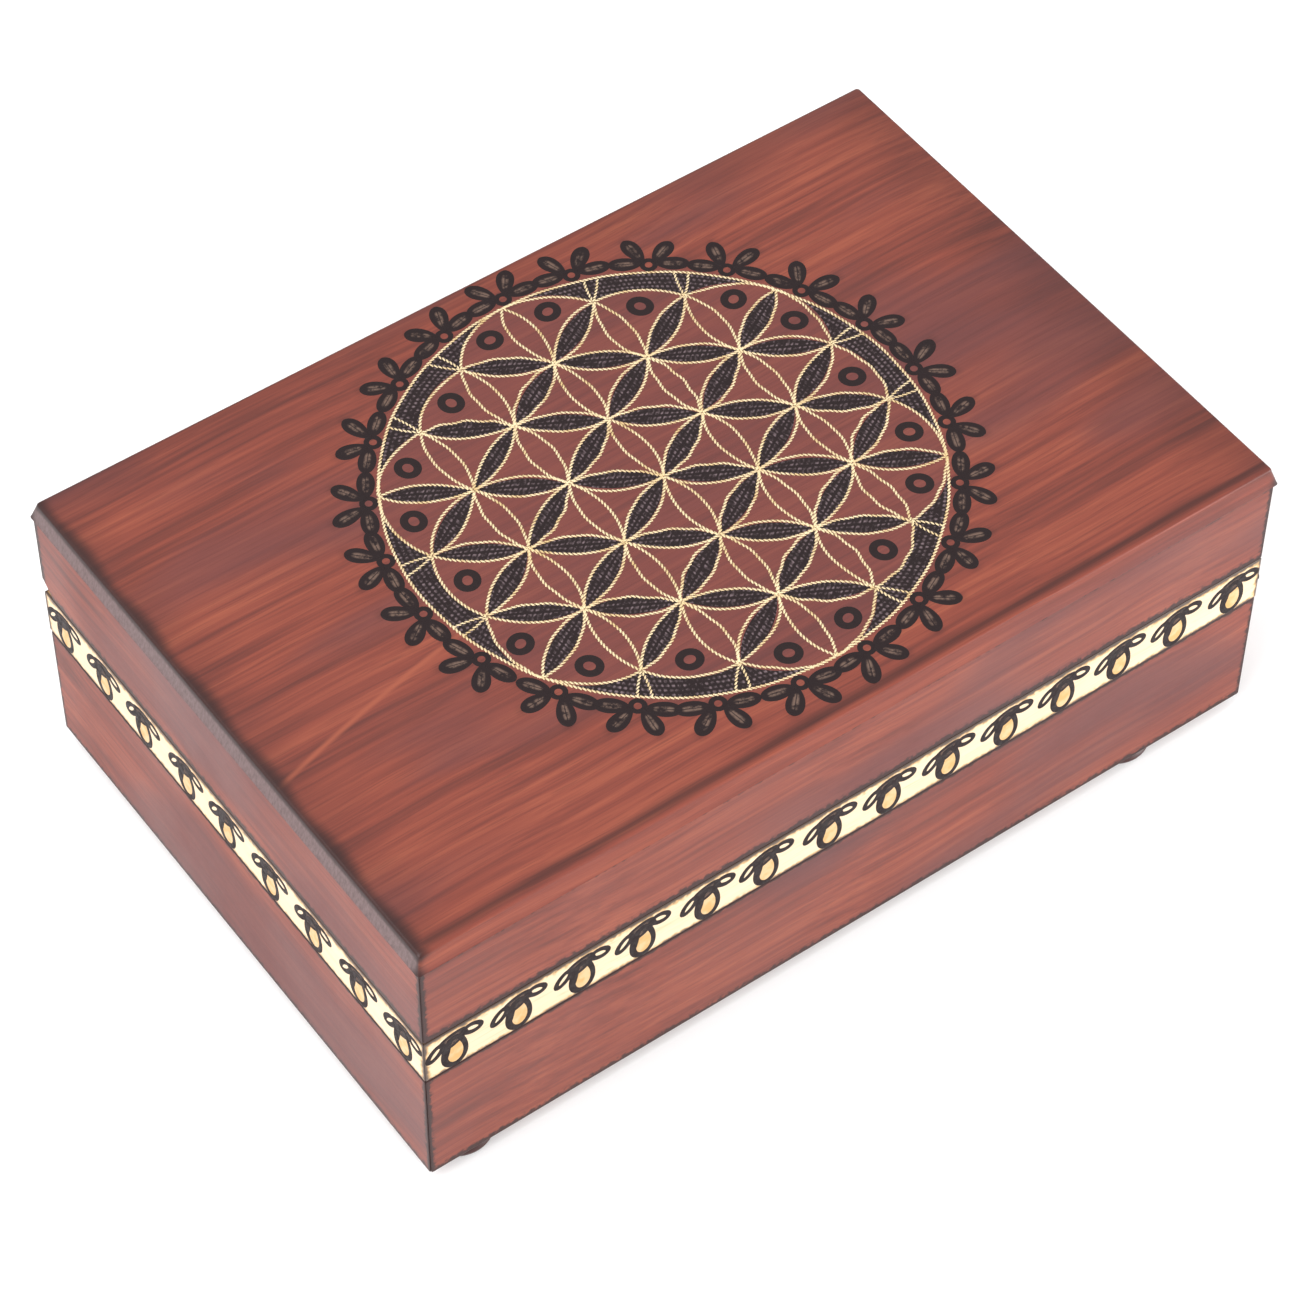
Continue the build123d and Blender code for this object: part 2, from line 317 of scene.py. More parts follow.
def round_corners(x, y, half_x, half_y, radius):
    """Points of a rectangle drawn in to the outline whose corners have that radius: a
    point in a corner square keeps its direction from the square's inner corner, and its
    distance becomes the larger of its two offsets."""
    inner_x, inner_y = half_x - radius, half_y - radius
    over_x = np.maximum(np.abs(x) - inner_x, 0)
    over_y = np.maximum(np.abs(y) - inner_y, 0)
    reach = np.hypot(over_x, over_y)
    shrink = np.where(reach > 0, np.maximum(over_x, over_y) / np.maximum(reach, 1e-12), 1)
    new_x = np.where(over_x > 0, np.sign(x) * (inner_x + over_x * shrink), x)
    new_y = np.where(over_y > 0, np.sign(y) * (inner_y + over_y * shrink), y)
    both = (over_x > 0) & (over_y > 0)
    return np.where(both, new_x, x), np.where(both, new_y, y)


def edge_stations(half):
    """Even stations from -half to half with extra ones crowded at both ends."""
    crowd = np.array([0.0, 0.25, 0.55, 0.9, 1.3, 1.9, 2.8]) * MM
    count = int(round(2 * (half - crowd[-1]) / GRID_STEP)) + 1
    middle = np.linspace(-half + crowd[-1], half - crowd[-1], count)
    return np.concatenate([-half + crowd[:-1], middle, (half - crowd[:-1])[::-1]])


def board_shell(arris, scorch_of):
    """The lid board: a flat top grid, then rings down over the rounded top arris, down
    the leaning edge and over the lower arris, a narrow level ring and one flat face
    underneath.  Each ring is the grid's border pushed out to that level's outline."""
    corner_radius, low_arris, level_ring = 0.8 * MM, 0.35 * MM, 6.0 * MM
    foot_x, foot_y = board_high.x, board_high.y
    thick = board_high.z - board_low.z
    corner = min((v.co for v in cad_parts["lid_board"].data.vertices
                  if v.co.z > board_high.z - 0.01 * MM), key=lambda c: c.x)
    lean = foot_x + corner.x
    roll = np.radians(np.linspace(0, 90, 6))
    top_x, top_y = foot_x - lean - arris, foot_y - lean - arris
    x, y = np.meshgrid(edge_stations(top_x), edge_stations(top_y), indexing="ij")
    x, y = round_corners(x, y, top_x, top_y, corner_radius)
    rows, columns = x.shape
    number = np.arange(rows * columns).reshape(rows, columns)
    rim_line = np.concatenate([number[:, 0], number[-1, 1:], number[-2::-1, -1],
                               number[0, -2:0:-1]])
    full = arris + lean
    part_way = np.array([0.3, 0.65, 0.93])
    out = np.concatenate([arris * np.sin(roll[1:]), arris + lean * part_way,
                          [full, full - low_arris, full - low_arris - level_ring]])
    down = np.concatenate([arris * (1 - np.cos(roll[1:])), arris + (thick - arris) * part_way,
                           [thick - 0.4 * low_arris, thick, thick]])
    border_x, border_y = x.ravel()[rim_line], y.ravel()[rim_line]
    rings = []
    for step_out, step_down in zip(out, down):
        stretch_x, stretch_y = (top_x + step_out) / top_x, (top_y + step_out) / top_y
        ring_x, ring_y = border_x * stretch_x, border_y * stretch_y
        rings.append(np.stack([ring_x, ring_y, np.full_like(ring_x, lid_top - step_down)], 1))
    top = np.stack([x.ravel(), y.ravel(), np.full(x.size, lid_top)], 1)
    points = np.concatenate([top] + rings)
    faces = [grid_faces(rows, columns)]
    count = len(rim_line)
    previous = rim_line
    for index in range(len(rings)):
        level = rows * columns + index * count + np.arange(count)
        faces.append(np.stack([previous, level, np.roll(level, -1), np.roll(previous, -1)], 1))
        previous = level
    faces.append(previous[None, ::-1])
    return points, faces, {"scorch": scorch_of(points)}


def foot_shell(node):
    """A flat turned foot: a profile of radius and height carried once round its axis,
    with a fine waist under its upper edge and a rounded lower edge."""
    low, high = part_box(node)
    radius, tall = (high.x - low.x) / 2, high.z - low.z
    turn = np.linspace(0, 2 * math.pi, 64, endpoint=False)
    roll = np.radians(np.linspace(0, 90, 7))
    lower = tall * 0.42
    bead = np.stack([radius - lower * (1 - np.sin(roll)), lower * (1 - np.cos(roll))], 1)
    waist = np.array([[0.985, 0.52], [0.93, 0.60], [0.90, 0.70], [0.905, 0.80],
                      [0.94, 0.88], [0.97, 0.94], [0.97, 1.0]]) * [radius, tall]
    profile = np.concatenate([[[0.0, 0.0]], [[0.6 * radius, 0.0]], bead, waist, [[0.0, tall]]])
    grid = np.stack([
        (low.x + high.x) / 2 + profile[:, :1] * np.cos(turn),
        (low.y + high.y) / 2 + profile[:, :1] * np.sin(turn),
        np.broadcast_to(low.z + profile[:, 1:], (len(profile), len(turn)))], -1)
    points, faces = stack_grids(grid[None])
    return points, faces, {}


# ---- the burnt and inlaid figure ----------------------------------------------------
def lattice(pitch, rings):
    """Circle centres of the figure on a triangular grid, and the petals between them.
    A petal joins two neighbouring centres; its two wires are arcs about the two points
    that complete its equilateral triangles.  Given per direction: start and end points."""
    steps = np.arange(-rings, rings + 1)
    i, j = np.meshgrid(steps, steps, indexing="ij")
    inside = np.abs(i + j) <= rings
    i, j = i[inside], j[inside]
    across = np.array([math.sin(math.radians(60)), 0.5]) * pitch
    upward = np.array([0.0, pitch])
    centres = i[:, None] * across + j[:, None] * upward
    known = set(zip(i.tolist(), j.tolist()))
    petals = {}
    for name, (di, dj) in {"vertical": (0, 1), "rising": (1, 0), "falling": (1, -1)}.items():
        keep = np.array([(a + di, b + dj) in known for a, b in zip(i.tolist(), j.tolist())])
        start = centres[keep]
        petals[name] = (start, start + di * across + dj * upward)
    return centres, petals


def turned(vectors, degrees):
    """Plane vectors turned by an angle."""
    angle = math.radians(degrees)
    spin = np.array([[math.cos(angle), math.sin(angle)], [-math.sin(angle), math.cos(angle)]])
    return vectors @ spin


def petal_arcs(start, end, centres):
    """The 60 degree arcs of the petals as arc centre, first angle and sweep, and which
    petals are whole.  An arc is there only if its circle is one of the figure's own, so
    a petal on the border has its outer arc alone."""
    arcs, found = [], []
    for side, sweep in ((60, 60), (-60, -60)):
        centre = start + turned(end - start, side)
        gap = np.abs(centre[:, None] - centres[None]).sum(2).min(1)
        own = gap < 0.01 * MM
        first = np.degrees(np.arctan2(*(start - centre).T[::-1]))
        arcs.append((centre[own], first[own], np.full(own.sum(), float(sweep))))
        found.append(own)
    return tuple(np.concatenate(values) for values in zip(*arcs)), found[0] & found[1]


def twisted_wire(lines, width, lay, phase):
    """Two strands wound round each line (count x steps x 2 points on the lid).  A strand
    lies half its own width beside the line and turns once round it per lay; the pair is
    pressed flat by WIRE_FLATTEN.  The ends close to points."""
    radius = width / 4
    tangent = np.gradient(lines, axis=1)
    run = np.linalg.norm(tangent, axis=2)
    tangent = tangent / run[..., None]
    travelled = np.cumsum(run, 1) - run[:, :1]
    beside = np.stack([-tangent[..., 1], tangent[..., 0]], -1)
    flat = np.zeros(lines.shape[:2] + (1,))
    along3 = np.concatenate([tangent, flat], -1)[:, :, None]
    beside3 = np.concatenate([beside, flat], -1)[:, :, None]
    centre3 = np.concatenate([lines, flat], -1)[:, :, None]
    up3 = np.array([0.0, 0.0, 1.0])
    swell = np.ones(lines.shape[1])
    swell[0] = swell[-1] = 0
    around = np.linspace(0, 2 * math.pi, 5, endpoint=False)
    shells = []
    for strand in (0, math.pi):
        wind = (2 * math.pi * travelled / lay + strand + phase[:, None])[:, :, None, None]
        offset = np.cos(wind) * beside3 + np.sin(wind) * up3
        slope = 2 * math.pi * radius / lay
        lead = along3 + slope * (-np.sin(wind) * beside3 + np.cos(wind) * up3)
        lead = lead / np.linalg.norm(lead, axis=-1, keepdims=True)
        cross = np.cross(lead, offset)
        section = (np.cos(around)[:, None] * offset + np.sin(around)[:, None] * cross)
        body = centre3 + radius * offset + radius * swell[None, :, None, None] * section
        # crest runs from 0 low on a strand to 1 on its top; the wire finish paints shade where
        # it is low.
        crest = np.clip(0.5 + body[..., 2] / (4 * radius), 0, 1)
        body[..., 2] *= WIRE_FLATTEN
        body[..., 2] += wire_top - WIRE_FLATTEN * 2 * radius
        body[..., :2] += figure_centre
        points, faces = stack_grids(body)
        shells.append((points, faces, {"crest": crest.ravel()}))
    return shells


def wandering_arcs(arcs, radius, share, wander, random):
    """Points of the arcs at the shares given, with the slow random waver of a wire that
    was laid by hand: three sine waves of 1, 2 and 7 half turns added to the radius."""
    centre, first, sweep = arcs
    stray = random.normal(0, wander, (3, len(centre), 1))
    waver = (stray[0] * np.sin(math.pi * share) + 0.6 * stray[1] * np.sin(2 * math.pi * share)
             + 0.4 * stray[2] * np.sin(7 * math.pi * share))
    angle = np.radians(first[:, None] + sweep[:, None] * share)
    ray = np.stack([np.cos(angle), np.sin(angle)], -1)
    return centre[:, None] + (radius + waver)[..., None] * ray


def stub_lines(pitch, radius):
    """Short bowed wires in pairs, from the twelve outermost crossings to the ring.  A
    crossing is sqrt(7) pitches from the middle; along a straight way from it the ring is
    at -u + sqrt(u^2 + R^2 - 7 pitch^2), where u is how far the crossing lies that way."""
    crossing_reach = math.sqrt(7) * pitch
    crossing_turn = np.degrees(math.atan2(math.sqrt(3) / 2, 2.5))
    part = np.linspace(0, 1, 24)[:, None]
    lines = []
    for middle in range(30, 390, 60):
        for hand in (-1, 1):
            for spread in (-12, 12):
                start = polar(crossing_reach, middle + hand * crossing_turn)
                way = polar(1.0, middle + hand * 30 + spread)
                along = start @ way
                reach = -along + math.sqrt(along ** 2 + radius ** 2 - crossing_reach ** 2)
                bow = 0.25 * MM * np.sin(math.pi * part) * turned(way[None], 90)
                lines.append(start + way * reach * part + np.sign(spread) * bow)
    return np.array(lines)


def scale_pattern(run, rise, size):
    """Overlapping burnt scales: rounded bumps of the given size in rows, each row moved
    half a bump on from the last; 0 between bumps and 1 on them."""
    row = np.floor(rise / size)
    return np.abs(np.sin(math.pi * rise / size) * np.sin(math.pi * (run / size + row / 2)))


def petal_fill_shell(start, end, margin, height):
    """Charred fills of the lens petals: the lens between both arcs, less a margin at
    each wire.  Half width = s (sqrt(1 - (t - 1/2)^2) - sqrt(3)/2) - margin."""
    pitch = float(np.linalg.norm(end[0] - start[0]))
    half_root = math.sqrt(0.75)
    reach = math.sqrt(1 - (half_root + margin / pitch) ** 2)
    share = np.linspace(0.5 - reach, 0.5 + reach, 46)
    half = pitch * (np.sqrt(1 - np.square(share - 0.5)) - half_root) - margin
    half[0] = half[-1] = 0
    axis = (end - start)[:, None] * share[None, :, None]
    beside = turned(end - start, 90) / pitch
    spread = beside[:, None] * half[None, :, None]
    left, right = start[:, None] + axis - spread, start[:, None] + axis + spread
    across = np.array([0, 0.08, 0.22, 0.38, 0.5, 0.62, 0.78, 0.92, 1.0])
    run = share[:, None] * pitch
    rise = (across[None] - 0.5) * 2 * half[:, None]
    scales = scale_pattern(run, rise + 2.2 * MM, 1.1 * MM)
    tops = height * soft_profile(across)[None] * (0.35 + 0.65 * scales)
    tops = np.broadcast_to(tops, (len(start),) + tops.shape)
    # The scales mark also tells the char finish where to paint highlights on the scale tops.
    glow = np.broadcast_to(scales, tops.shape)
    return strip_shells(lid_face, left + figure_centre, right + figure_centre, tops,
                        across, {"scales": glow})


def crescent_shell(pitch, ring_radius, margin, height):
    """Charred crescents inside the ring.  The inner edge follows the outermost of the
    three circles on that side of the figure, r = d cos(a) + sqrt(s^2 - d^2 sin(a)^2)."""
    turn = np.radians(np.linspace(-30, 30, 150))
    tops_of = []
    for distance, offset in ((2 * pitch, -30), (math.sqrt(3) * pitch, 0), (2 * pitch, 30)):
        lean = turn - math.radians(offset)
        tops_of.append(distance * np.cos(lean)
                       + np.sqrt(np.maximum(pitch ** 2 - (distance * np.sin(lean)) ** 2, 0)))
    inner = np.max(tops_of, 0) + margin
    outer = np.full_like(inner, ring_radius - margin)
    inner = np.minimum(inner, outer)
    keep = np.flatnonzero(outer - inner > 0.05 * MM)
    turn, inner, outer = turn[keep], inner[keep].copy(), outer[keep]
    inner[0], inner[-1] = outer[0], outer[-1]
    middle = np.radians(np.arange(0, 360, 60))[:, None]
    ray = np.stack([np.cos(turn + middle), np.sin(turn + middle)], -1)
    across = np.concatenate([[0, 0.04], np.linspace(0.12, 0.88, 12), [0.96, 1.0]])
    rise = (outer - inner)[:, None] * (1 - across)[None]
    run = (turn * ring_radius)[:, None]
    scales = scale_pattern(run, rise, 1.2 * MM)
    tops = height * soft_profile(across, 0.06)[None] * (0.35 + 0.65 * scales)
    tops = np.broadcast_to(tops, (6,) + tops.shape)
    # The scales mark also tells the char finish where to paint highlights on the scale tops.
    return strip_shells(
        lid_face, figure_centre + ray * inner[:, None], figure_centre + ray * outer[:, None],
        tops, across, {"scales": np.broadcast_to(scales, tops.shape)})


def eased_shares(steps):
    """Shares from 0 to 1 that crowd towards both ends: half of 1 less a cosine."""
    return (1 - np.cos(np.linspace(0, math.pi, steps))) / 2


def teardrop_lines(roots, tips, width, steps, heel):
    """Both edges of drops from root to tip.  Half width = t^heel (1 - t)^0.5, scaled to
    the width at its fullest: the tip is round, and a larger heel sharpens the root."""
    share = eased_shares(steps)
    half = share ** heel * np.sqrt(1 - share)
    half *= width / 2 / half.max()
    axis = tips - roots
    beside = turned(axis, 90) / np.linalg.norm(axis, axis=1, keepdims=True)
    middle = roots[:, None] + axis[:, None] * share[None, :, None]
    spread = beside[:, None] * half[None, :, None]
    return middle - spread, middle + spread


def drop_shell(face, roots, tips, width, height, heel=0.5, steps=20):
    """Burnt drops: a raised outline, a hollow inside it and a slit down the middle."""
    left, right = teardrop_lines(roots, tips, width, steps, heel)
    across = np.array([0, 0.09, 0.22, 0.33, 0.44, 0.5, 0.56, 0.67, 0.78, 0.91, 1.0])
    cross = np.array([0, 0.8, 1.0, 0.6, 0.5, 0.3, 0.5, 0.6, 1.0, 0.8, 0])
    tone_of = np.array([0, 0.0, 0.0, 0.6, 1.0, 0.35, 1.0, 0.6, 0.0, 0.0, 0])
    share = eased_shares(steps)
    lengthwise = np.clip(np.minimum(share - 0.16, 0.86 - share) / 0.12, 0, 1)
    tops = np.broadcast_to(cross[None, None] * height, (len(roots), steps, len(across)))
    glow = np.broadcast_to((lengthwise[:, None] * tone_of[None])[None], tops.shape)
    return strip_shells(face, left, right, tops, across, {"scales": glow})


def ribbon_shell(face, lines, width, height, glow=0.0):
    """Closed burnt lines of even width; lines are count x steps x 2 centre points."""
    ahead = np.roll(lines, -1, 1) - np.roll(lines, 1, 1)
    ahead = ahead / np.linalg.norm(ahead, axis=2, keepdims=True)
    beside = np.stack([-ahead[..., 1], ahead[..., 0]], -1)
    width = np.reshape(width, (-1, 1, 1)) if np.ndim(width) < 2 else width[..., None]
    across = np.array([0, 0.15, 0.5, 0.85, 1.0])
    tops = np.broadcast_to(height * soft_profile(across, 0.3), lines.shape[:2] + (5,))
    return strip_shells(face, lines - beside * width / 2, lines + beside * width / 2, tops,
                        across, {"scales": np.full(tops.shape, glow)}, ring=True)


def polar(radius, degrees):
    """Plane points from whole arrays of radius and angle."""
    angle = np.radians(degrees)
    return np.stack([radius * np.cos(angle), radius * np.sin(angle)], -1)


def burnt_ring_lines(pitch, random):
    """Centre lines of the eighteen small burnt rings: in each sixth of the figure one on
    its axis and a pair beside the corner circles, drawn freehand."""
    sixth = np.arange(6) * 60
    centres = np.concatenate([
        polar(2.69 * pitch, sixth + 30 + 7.9), polar(2.69 * pitch, sixth + 30 - 7.9),
        polar(2.49 * pitch, sixth)])
    turn = np.linspace(0, 2 * math.pi, 26, endpoint=False)
    uneven = 1 + 0.05 * np.sin(2 * turn + random.uniform(0, 6, (len(centres), 1)))
    circle = np.stack([np.cos(turn), np.sin(turn)], -1)
    centres = centres + random.normal(0, 0.25 * MM, centres.shape)
    return figure_centre + centres[:, None] + circle * (uneven * 2.12 * MM)[..., None]


def border_drops(count, ring_radius):
    """Roots and tips of the petals and leaves around the ring, and the middles of the
    eyes they grow from.  Each motif has two petals that open outwards and a leaf on
    either side that lies along the ring; the back ones stop short of the lid's arris."""
    random = np.random.default_rng(BORDER_SEED)
    middle = 10 + np.arange(count) * 360 / count + random.normal(0, 0.35, count)
    even = np.ones(count)
    petals, leaves = [], []
    for hand in (-1, 1):
        drift = random.normal(0, 0.35 * MM, (2, count))
        petals.append((
            polar(even * (ring_radius + 3.0 * MM), middle + hand * 0.9),
            polar(ring_radius + 9.9 * MM + drift[0], middle + hand * 4.3)))
        leaves.append((
            polar(even * (ring_radius + 2.7 * MM), middle + hand * 1.4),
            polar(ring_radius + 3.0 * MM + 0.8 * drift[1], middle + hand * 8.2)))
    groups = [tuple(figure_centre + np.concatenate(part) for part in zip(*group))
              for group in (petals, leaves)]
    for tips in (groups[0][1], groups[1][1]):
        tips[:, 1] = np.minimum(tips[:, 1], board_high.y - 2.2 * MM)
    return groups, figure_centre + polar(even * (ring_radius + 2.2 * MM), middle)


def band_stations(side, sizes):
    """Places along a band where its burnt motifs stand, evenly spaced and centred."""
    long_side = side in ("front", "back")
    count = sizes.front_motifs if long_side else sizes.side_motifs
    half = half_length if long_side else half_width
    return np.linspace(-half + 7.0 * MM, half - 8.2 * MM, count)


def oval_lines(centres, half_x, half_y, lean, steps):
    """Closed ovals about centres; lean tips them over, in degrees."""
    turn = np.linspace(0, 2 * math.pi, steps, endpoint=False)
    oval = turned(np.stack([half_x * np.cos(turn), half_y * np.sin(turn)], -1), lean)
    return centres[:, None] + oval[None]


def band_shells(side, sizes, random):
    """Burnt lines and amber fills of one band.  Each motif is a hanging bud with a collar
    and an outlined leaf on either side; the buds sway a little."""
    face = band_faces[side]
    places = band_stations(side, sizes)
    count = len(places)
    foot = band_low.z
    tall = rim - band_low.z
    grow = (tall - 1.0 * MM) / (12 * MM) * (0.9 if side == "back" else 1.0)
    sway = random.normal(0, 0.25 * MM, count)

    def at(a, b):
        """Motif points at a beside the bud's axis and b above the band's foot."""
        return np.stack([places + sway + a * MM, np.full(count, foot + b * grow * MM)], 1)

    turn = np.linspace(0, 2 * math.pi, 40, endpoint=False)
    bud_x = 0.3 + 2.5 * np.sin(turn) + 0.3 * np.sin(2 * turn)
    bud_y = 5.35 - 4.55 * np.cos(turn)
    bud = at(0, 0)[:, None] + np.stack([bud_x, bud_y * grow], -1)[None] * MM
    stroke = 1.6 * MM * (1 - 0.18 * np.sin(turn + 0.5))[None] * np.ones((count, 1))
    height = sizes.burn_height * 0.6
    dark = [
        ribbon_shell(face, bud, stroke, height),
        ribbon_shell(face, oval_lines(at(-4.4, 7.7), 1.15 * MM, 2.4 * MM, -42, 24),
                     np.full(count, 1.35 * MM), height),
        ribbon_shell(face, oval_lines(at(4.7, 9.6), 2.1 * MM, 1.25 * MM, -16, 24),
                     np.full(count, 1.35 * MM), height),
        drop_shell(face, at(-3.9, 9.3), at(3.4, 10.9), 3.0 * MM, height, 0.5, 12),
        drop_shell(face, at(-3.6, 6.9), at(3.6, 9.9), 2.9 * MM, height, 0.5, 12),
        drop_shell(face, at(-0.9, 10.2), at(-2.5, 2.4), 2.0 * MM, height, 0.5, 12),
    ]
    amber = drop_shell(face, at(0.5, 8.4), at(0.3, 1.5), 4.4 * MM, height * 0.4, 0.5, 16)
    return dark, [amber]


# ---- shader graphs ------------------------------------------------------------------
class Graph:
    """Short ways to place and join nodes in one node tree."""

    def __init__(self, tree):
        self.tree = tree

    def node(self, kind, inputs=None, **settings):
        """A new node with its settings; inputs are values or sockets by name or place."""
        made = self.tree.nodes.new(kind)
        for name, value in settings.items():
            setattr(made, name, value)
        for name, value in (inputs or {}).items():
            self.feed(made.inputs[name], value)
        return made

    def feed(self, socket, value):
        """Joins a socket, or sets its own value; a colour of three gets a full alpha."""
        if isinstance(value, bpy.types.NodeSocket):
            self.tree.links.new(value, socket)
        elif socket.type == "RGBA" and len(value) == 3:
            socket.default_value = (*value, 1.0)
        else:
            socket.default_value = value

    def math(self, operation, first, second=0.0, clamp=False):
        """One arithmetic step."""
        return self.node("ShaderNodeMath", {0: first, 1: second}, operation=operation,
                         use_clamp=clamp).outputs[0]

    def mix(self, factor, first, second, blend="MIX"):
        """Two colours mixed by a factor."""
        made = self.node("ShaderNodeMix", data_type="RGBA", blend_type=blend)
        for place, value in ((0, factor), (6, first), (7, second)):
            self.feed(made.inputs[place], value)
        return made.outputs[2]

    def spread(self, value, low, high, to_low=0.0, to_high=1.0):
        """A value moved smoothly from one range to another, and kept inside it."""
        return self.node(
            "ShaderNodeMapRange", {"Value": value, "From Min": low, "From Max": high,
                                   "To Min": to_low, "To Max": to_high},
            interpolation_type="SMOOTHSTEP").outputs[0]

    def noise(self, vector, scale, detail=3.0, rough=0.5, distortion=0.0):
        """Soft random values from 0 to 1."""
        return self.node(
            "ShaderNodeTexNoise", {"Vector": vector, "Scale": scale, "Detail": detail,
                                   "Roughness": rough, "Distortion": distortion}
        ).outputs["Fac"]

    def stretch(self, vector, scale, turn=0.0):
        """Coordinates turned about the upright and then stretched."""
        return self.node("ShaderNodeMapping", {
            "Vector": vector, "Rotation": (0.0, 0.0, turn), "Scale": scale},
            vector_type="POINT").outputs[0]

    def object_place(self):
        """Places on the piece in the frame's metres."""
        return self.node("ShaderNodeTexCoord").outputs["Object"]

    def mark(self, name):
        """A point attribute of the piece."""
        return self.node("ShaderNodeAttribute", attribute_name=name).outputs["Fac"]


def shader_group(name, inputs, outputs):
    """An empty node group with named sockets, and its Graph, input and output nodes."""
    tree = bpy.data.node_groups.new(name, "ShaderNodeTree")
    for socket, kind, default in inputs:
        made = tree.interface.new_socket(socket, in_out="INPUT", socket_type=kind)
        if default is not None:
            made.default_value = default
    for socket, kind in outputs:
        tree.interface.new_socket(socket, in_out="OUTPUT", socket_type=kind)
    graph = Graph(tree)
    return tree, graph, graph.node("NodeGroupInput").outputs, \
        graph.node("NodeGroupOutput").inputs


FLOAT, VECTOR = "NodeSocketFloat", "NodeSocketVector"


def grain_group():
    """Wood grain that runs along X: broad streaks, fine fibres and slow patches."""
    tree, g, given, out = shader_group(
        "wood_grain",
        [("Vector", VECTOR, None), ("Wave", FLOAT, 0.012)],
        [("Streaks", FLOAT), ("Fibres", FLOAT), ("Patches", FLOAT), ("Height", FLOAT)])
    sway = g.noise(g.stretch(given["Vector"], (7.0, 5.0, 5.0)), 1.0, 2.0)
    shift = g.math("MULTIPLY", g.math("SUBTRACT", sway, 0.5), given["Wave"])
    aside = g.node("ShaderNodeCombineXYZ", {"Y": shift, "Z": shift}).outputs[0]
    bent = g.node("ShaderNodeVectorMath", {0: given["Vector"], 1: aside},
                  operation="ADD").outputs[0]
    broad = g.noise(g.stretch(bent, (6.0, 90.0, 90.0)), 1.0, 2.0, 0.5)
    medium = g.noise(g.stretch(bent, (14.0, 620.0, 620.0)), 1.0, 4.0, 0.62)
    fibres = g.noise(g.stretch(bent, (60.0, 2600.0, 2600.0)), 1.0, 2.0, 0.6)
    patches = g.noise(g.stretch(bent, (9.0, 30.0, 30.0)), 1.0, 2.0, 0.5)
    streaks = g.math("ADD", g.math("MULTIPLY", broad, 0.4), g.math("MULTIPLY", medium, 0.6))
    g.feed(out["Streaks"], g.spread(streaks, 0.18, 0.82))
    g.feed(out["Fibres"], fibres)
    g.feed(out["Patches"], g.spread(patches, 0.34, 0.68))
    g.feed(out["Height"], g.math("ADD", g.math("MULTIPLY", medium, 0.5),
                                 g.math("MULTIPLY", fibres, 0.5)))
    return tree


def burnt_edge_group():
    """A mask of burnt arrises: the upright corners of the box and two level lines, with
    a border that soft noise breaks up."""
    tree, g, given, out = shader_group(
        "burnt_edges",
        [("Vector", VECTOR, None), ("Low Level", FLOAT, 0.0), ("High Level", FLOAT, 0.0),
         ("Corner Reach", FLOAT, 0.001), ("Low Reach", FLOAT, 0.001),
         ("High Reach", FLOAT, 0.001)],
        [("Mask", FLOAT)])
    parts = g.node("ShaderNodeSeparateXYZ", {0: given["Vector"]}).outputs
    ragged = g.spread(g.noise(given["Vector"], 700.0, 3.0), 0.25, 0.75, 0.62, 1.45)

    def closeness(distance, reach):
        """exp of minus the square of distance over a ragged reach."""
        share = g.math("DIVIDE", distance, g.math("MULTIPLY", reach, ragged))
        return g.math("EXPONENT", g.math("MULTIPLY", g.math("MULTIPLY", share, share), -1.0))

    from_end = g.math("SUBTRACT", half_length, g.math("ABSOLUTE", parts["X"]))
    from_face = g.math("SUBTRACT", half_width, g.math("ABSOLUTE", parts["Y"]))
    corner = g.math("MAXIMUM", from_end, from_face)
    mask = closeness(corner, given["Corner Reach"])
    outside = g.spread(g.math("MINIMUM", from_end, from_face), 0.0, 1.2 * MM, 1.0, 0.0)
    for level, reach in (("Low Level", "Low Reach"), ("High Level", "High Reach")):
        line = closeness(g.math("SUBTRACT", parts["Z"], given[level]), given[reach])
        mask = g.math("MAXIMUM", mask, g.math("MULTIPLY", line, outside))
    g.feed(out["Mask"], mask)
    return tree


def handled_group():
    """Slow changes of gloss where varnish has run and hands have rubbed."""
    tree, g, given, out = shader_group(
        "handled_gloss",
        [("Vector", VECTOR, None), ("Smooth", FLOAT, 0.3), ("Dull", FLOAT, 0.5)],
        [("Roughness", FLOAT)])
    cloud = g.spread(g.noise(given["Vector"], 26.0, 4.0), 0.3, 0.7)
    speck = g.noise(given["Vector"], 900.0, 2.0)
    share = g.math("ADD", g.math("MULTIPLY", cloud, 0.7), g.math("MULTIPLY", speck, 0.3))
    rise = g.math("MULTIPLY", share, g.math("SUBTRACT", given["Dull"], given["Smooth"]))
    g.feed(out["Roughness"], g.math("ADD", given["Smooth"], rise))
    return tree


def shared(name):
    """A shared node group, built the first time it is asked for."""
    makers = {"wood_grain": grain_group, "burnt_edges": burnt_edge_group,
              "handled_gloss": handled_group}
    return bpy.data.node_groups.get(name) or makers[name]()


def new_material(name, **shader_values):
    """A material with one Principled shader; plain values go on the shader's sockets."""
    made = bpy.data.materials.new(name)
    made.use_nodes = True
    made.node_tree.nodes.clear()
    graph = Graph(made.node_tree)
    shader = graph.node("ShaderNodeBsdfPrincipled")
    output = graph.node("ShaderNodeOutputMaterial")
    graph.feed(output.inputs["Surface"], shader.outputs[0])
    for socket, value in shader_values.items():
        graph.feed(shader.inputs[socket.replace("_", " ")], value)
    return made, graph, shader.inputs


def place_group(graph, name, inputs):
    """One use of a shared group inside a material."""
    made = graph.node("ShaderNodeGroup", node_tree=shared(name))
    for socket, value in inputs.items():
        graph.feed(made.inputs[socket], value)
    return made.outputs


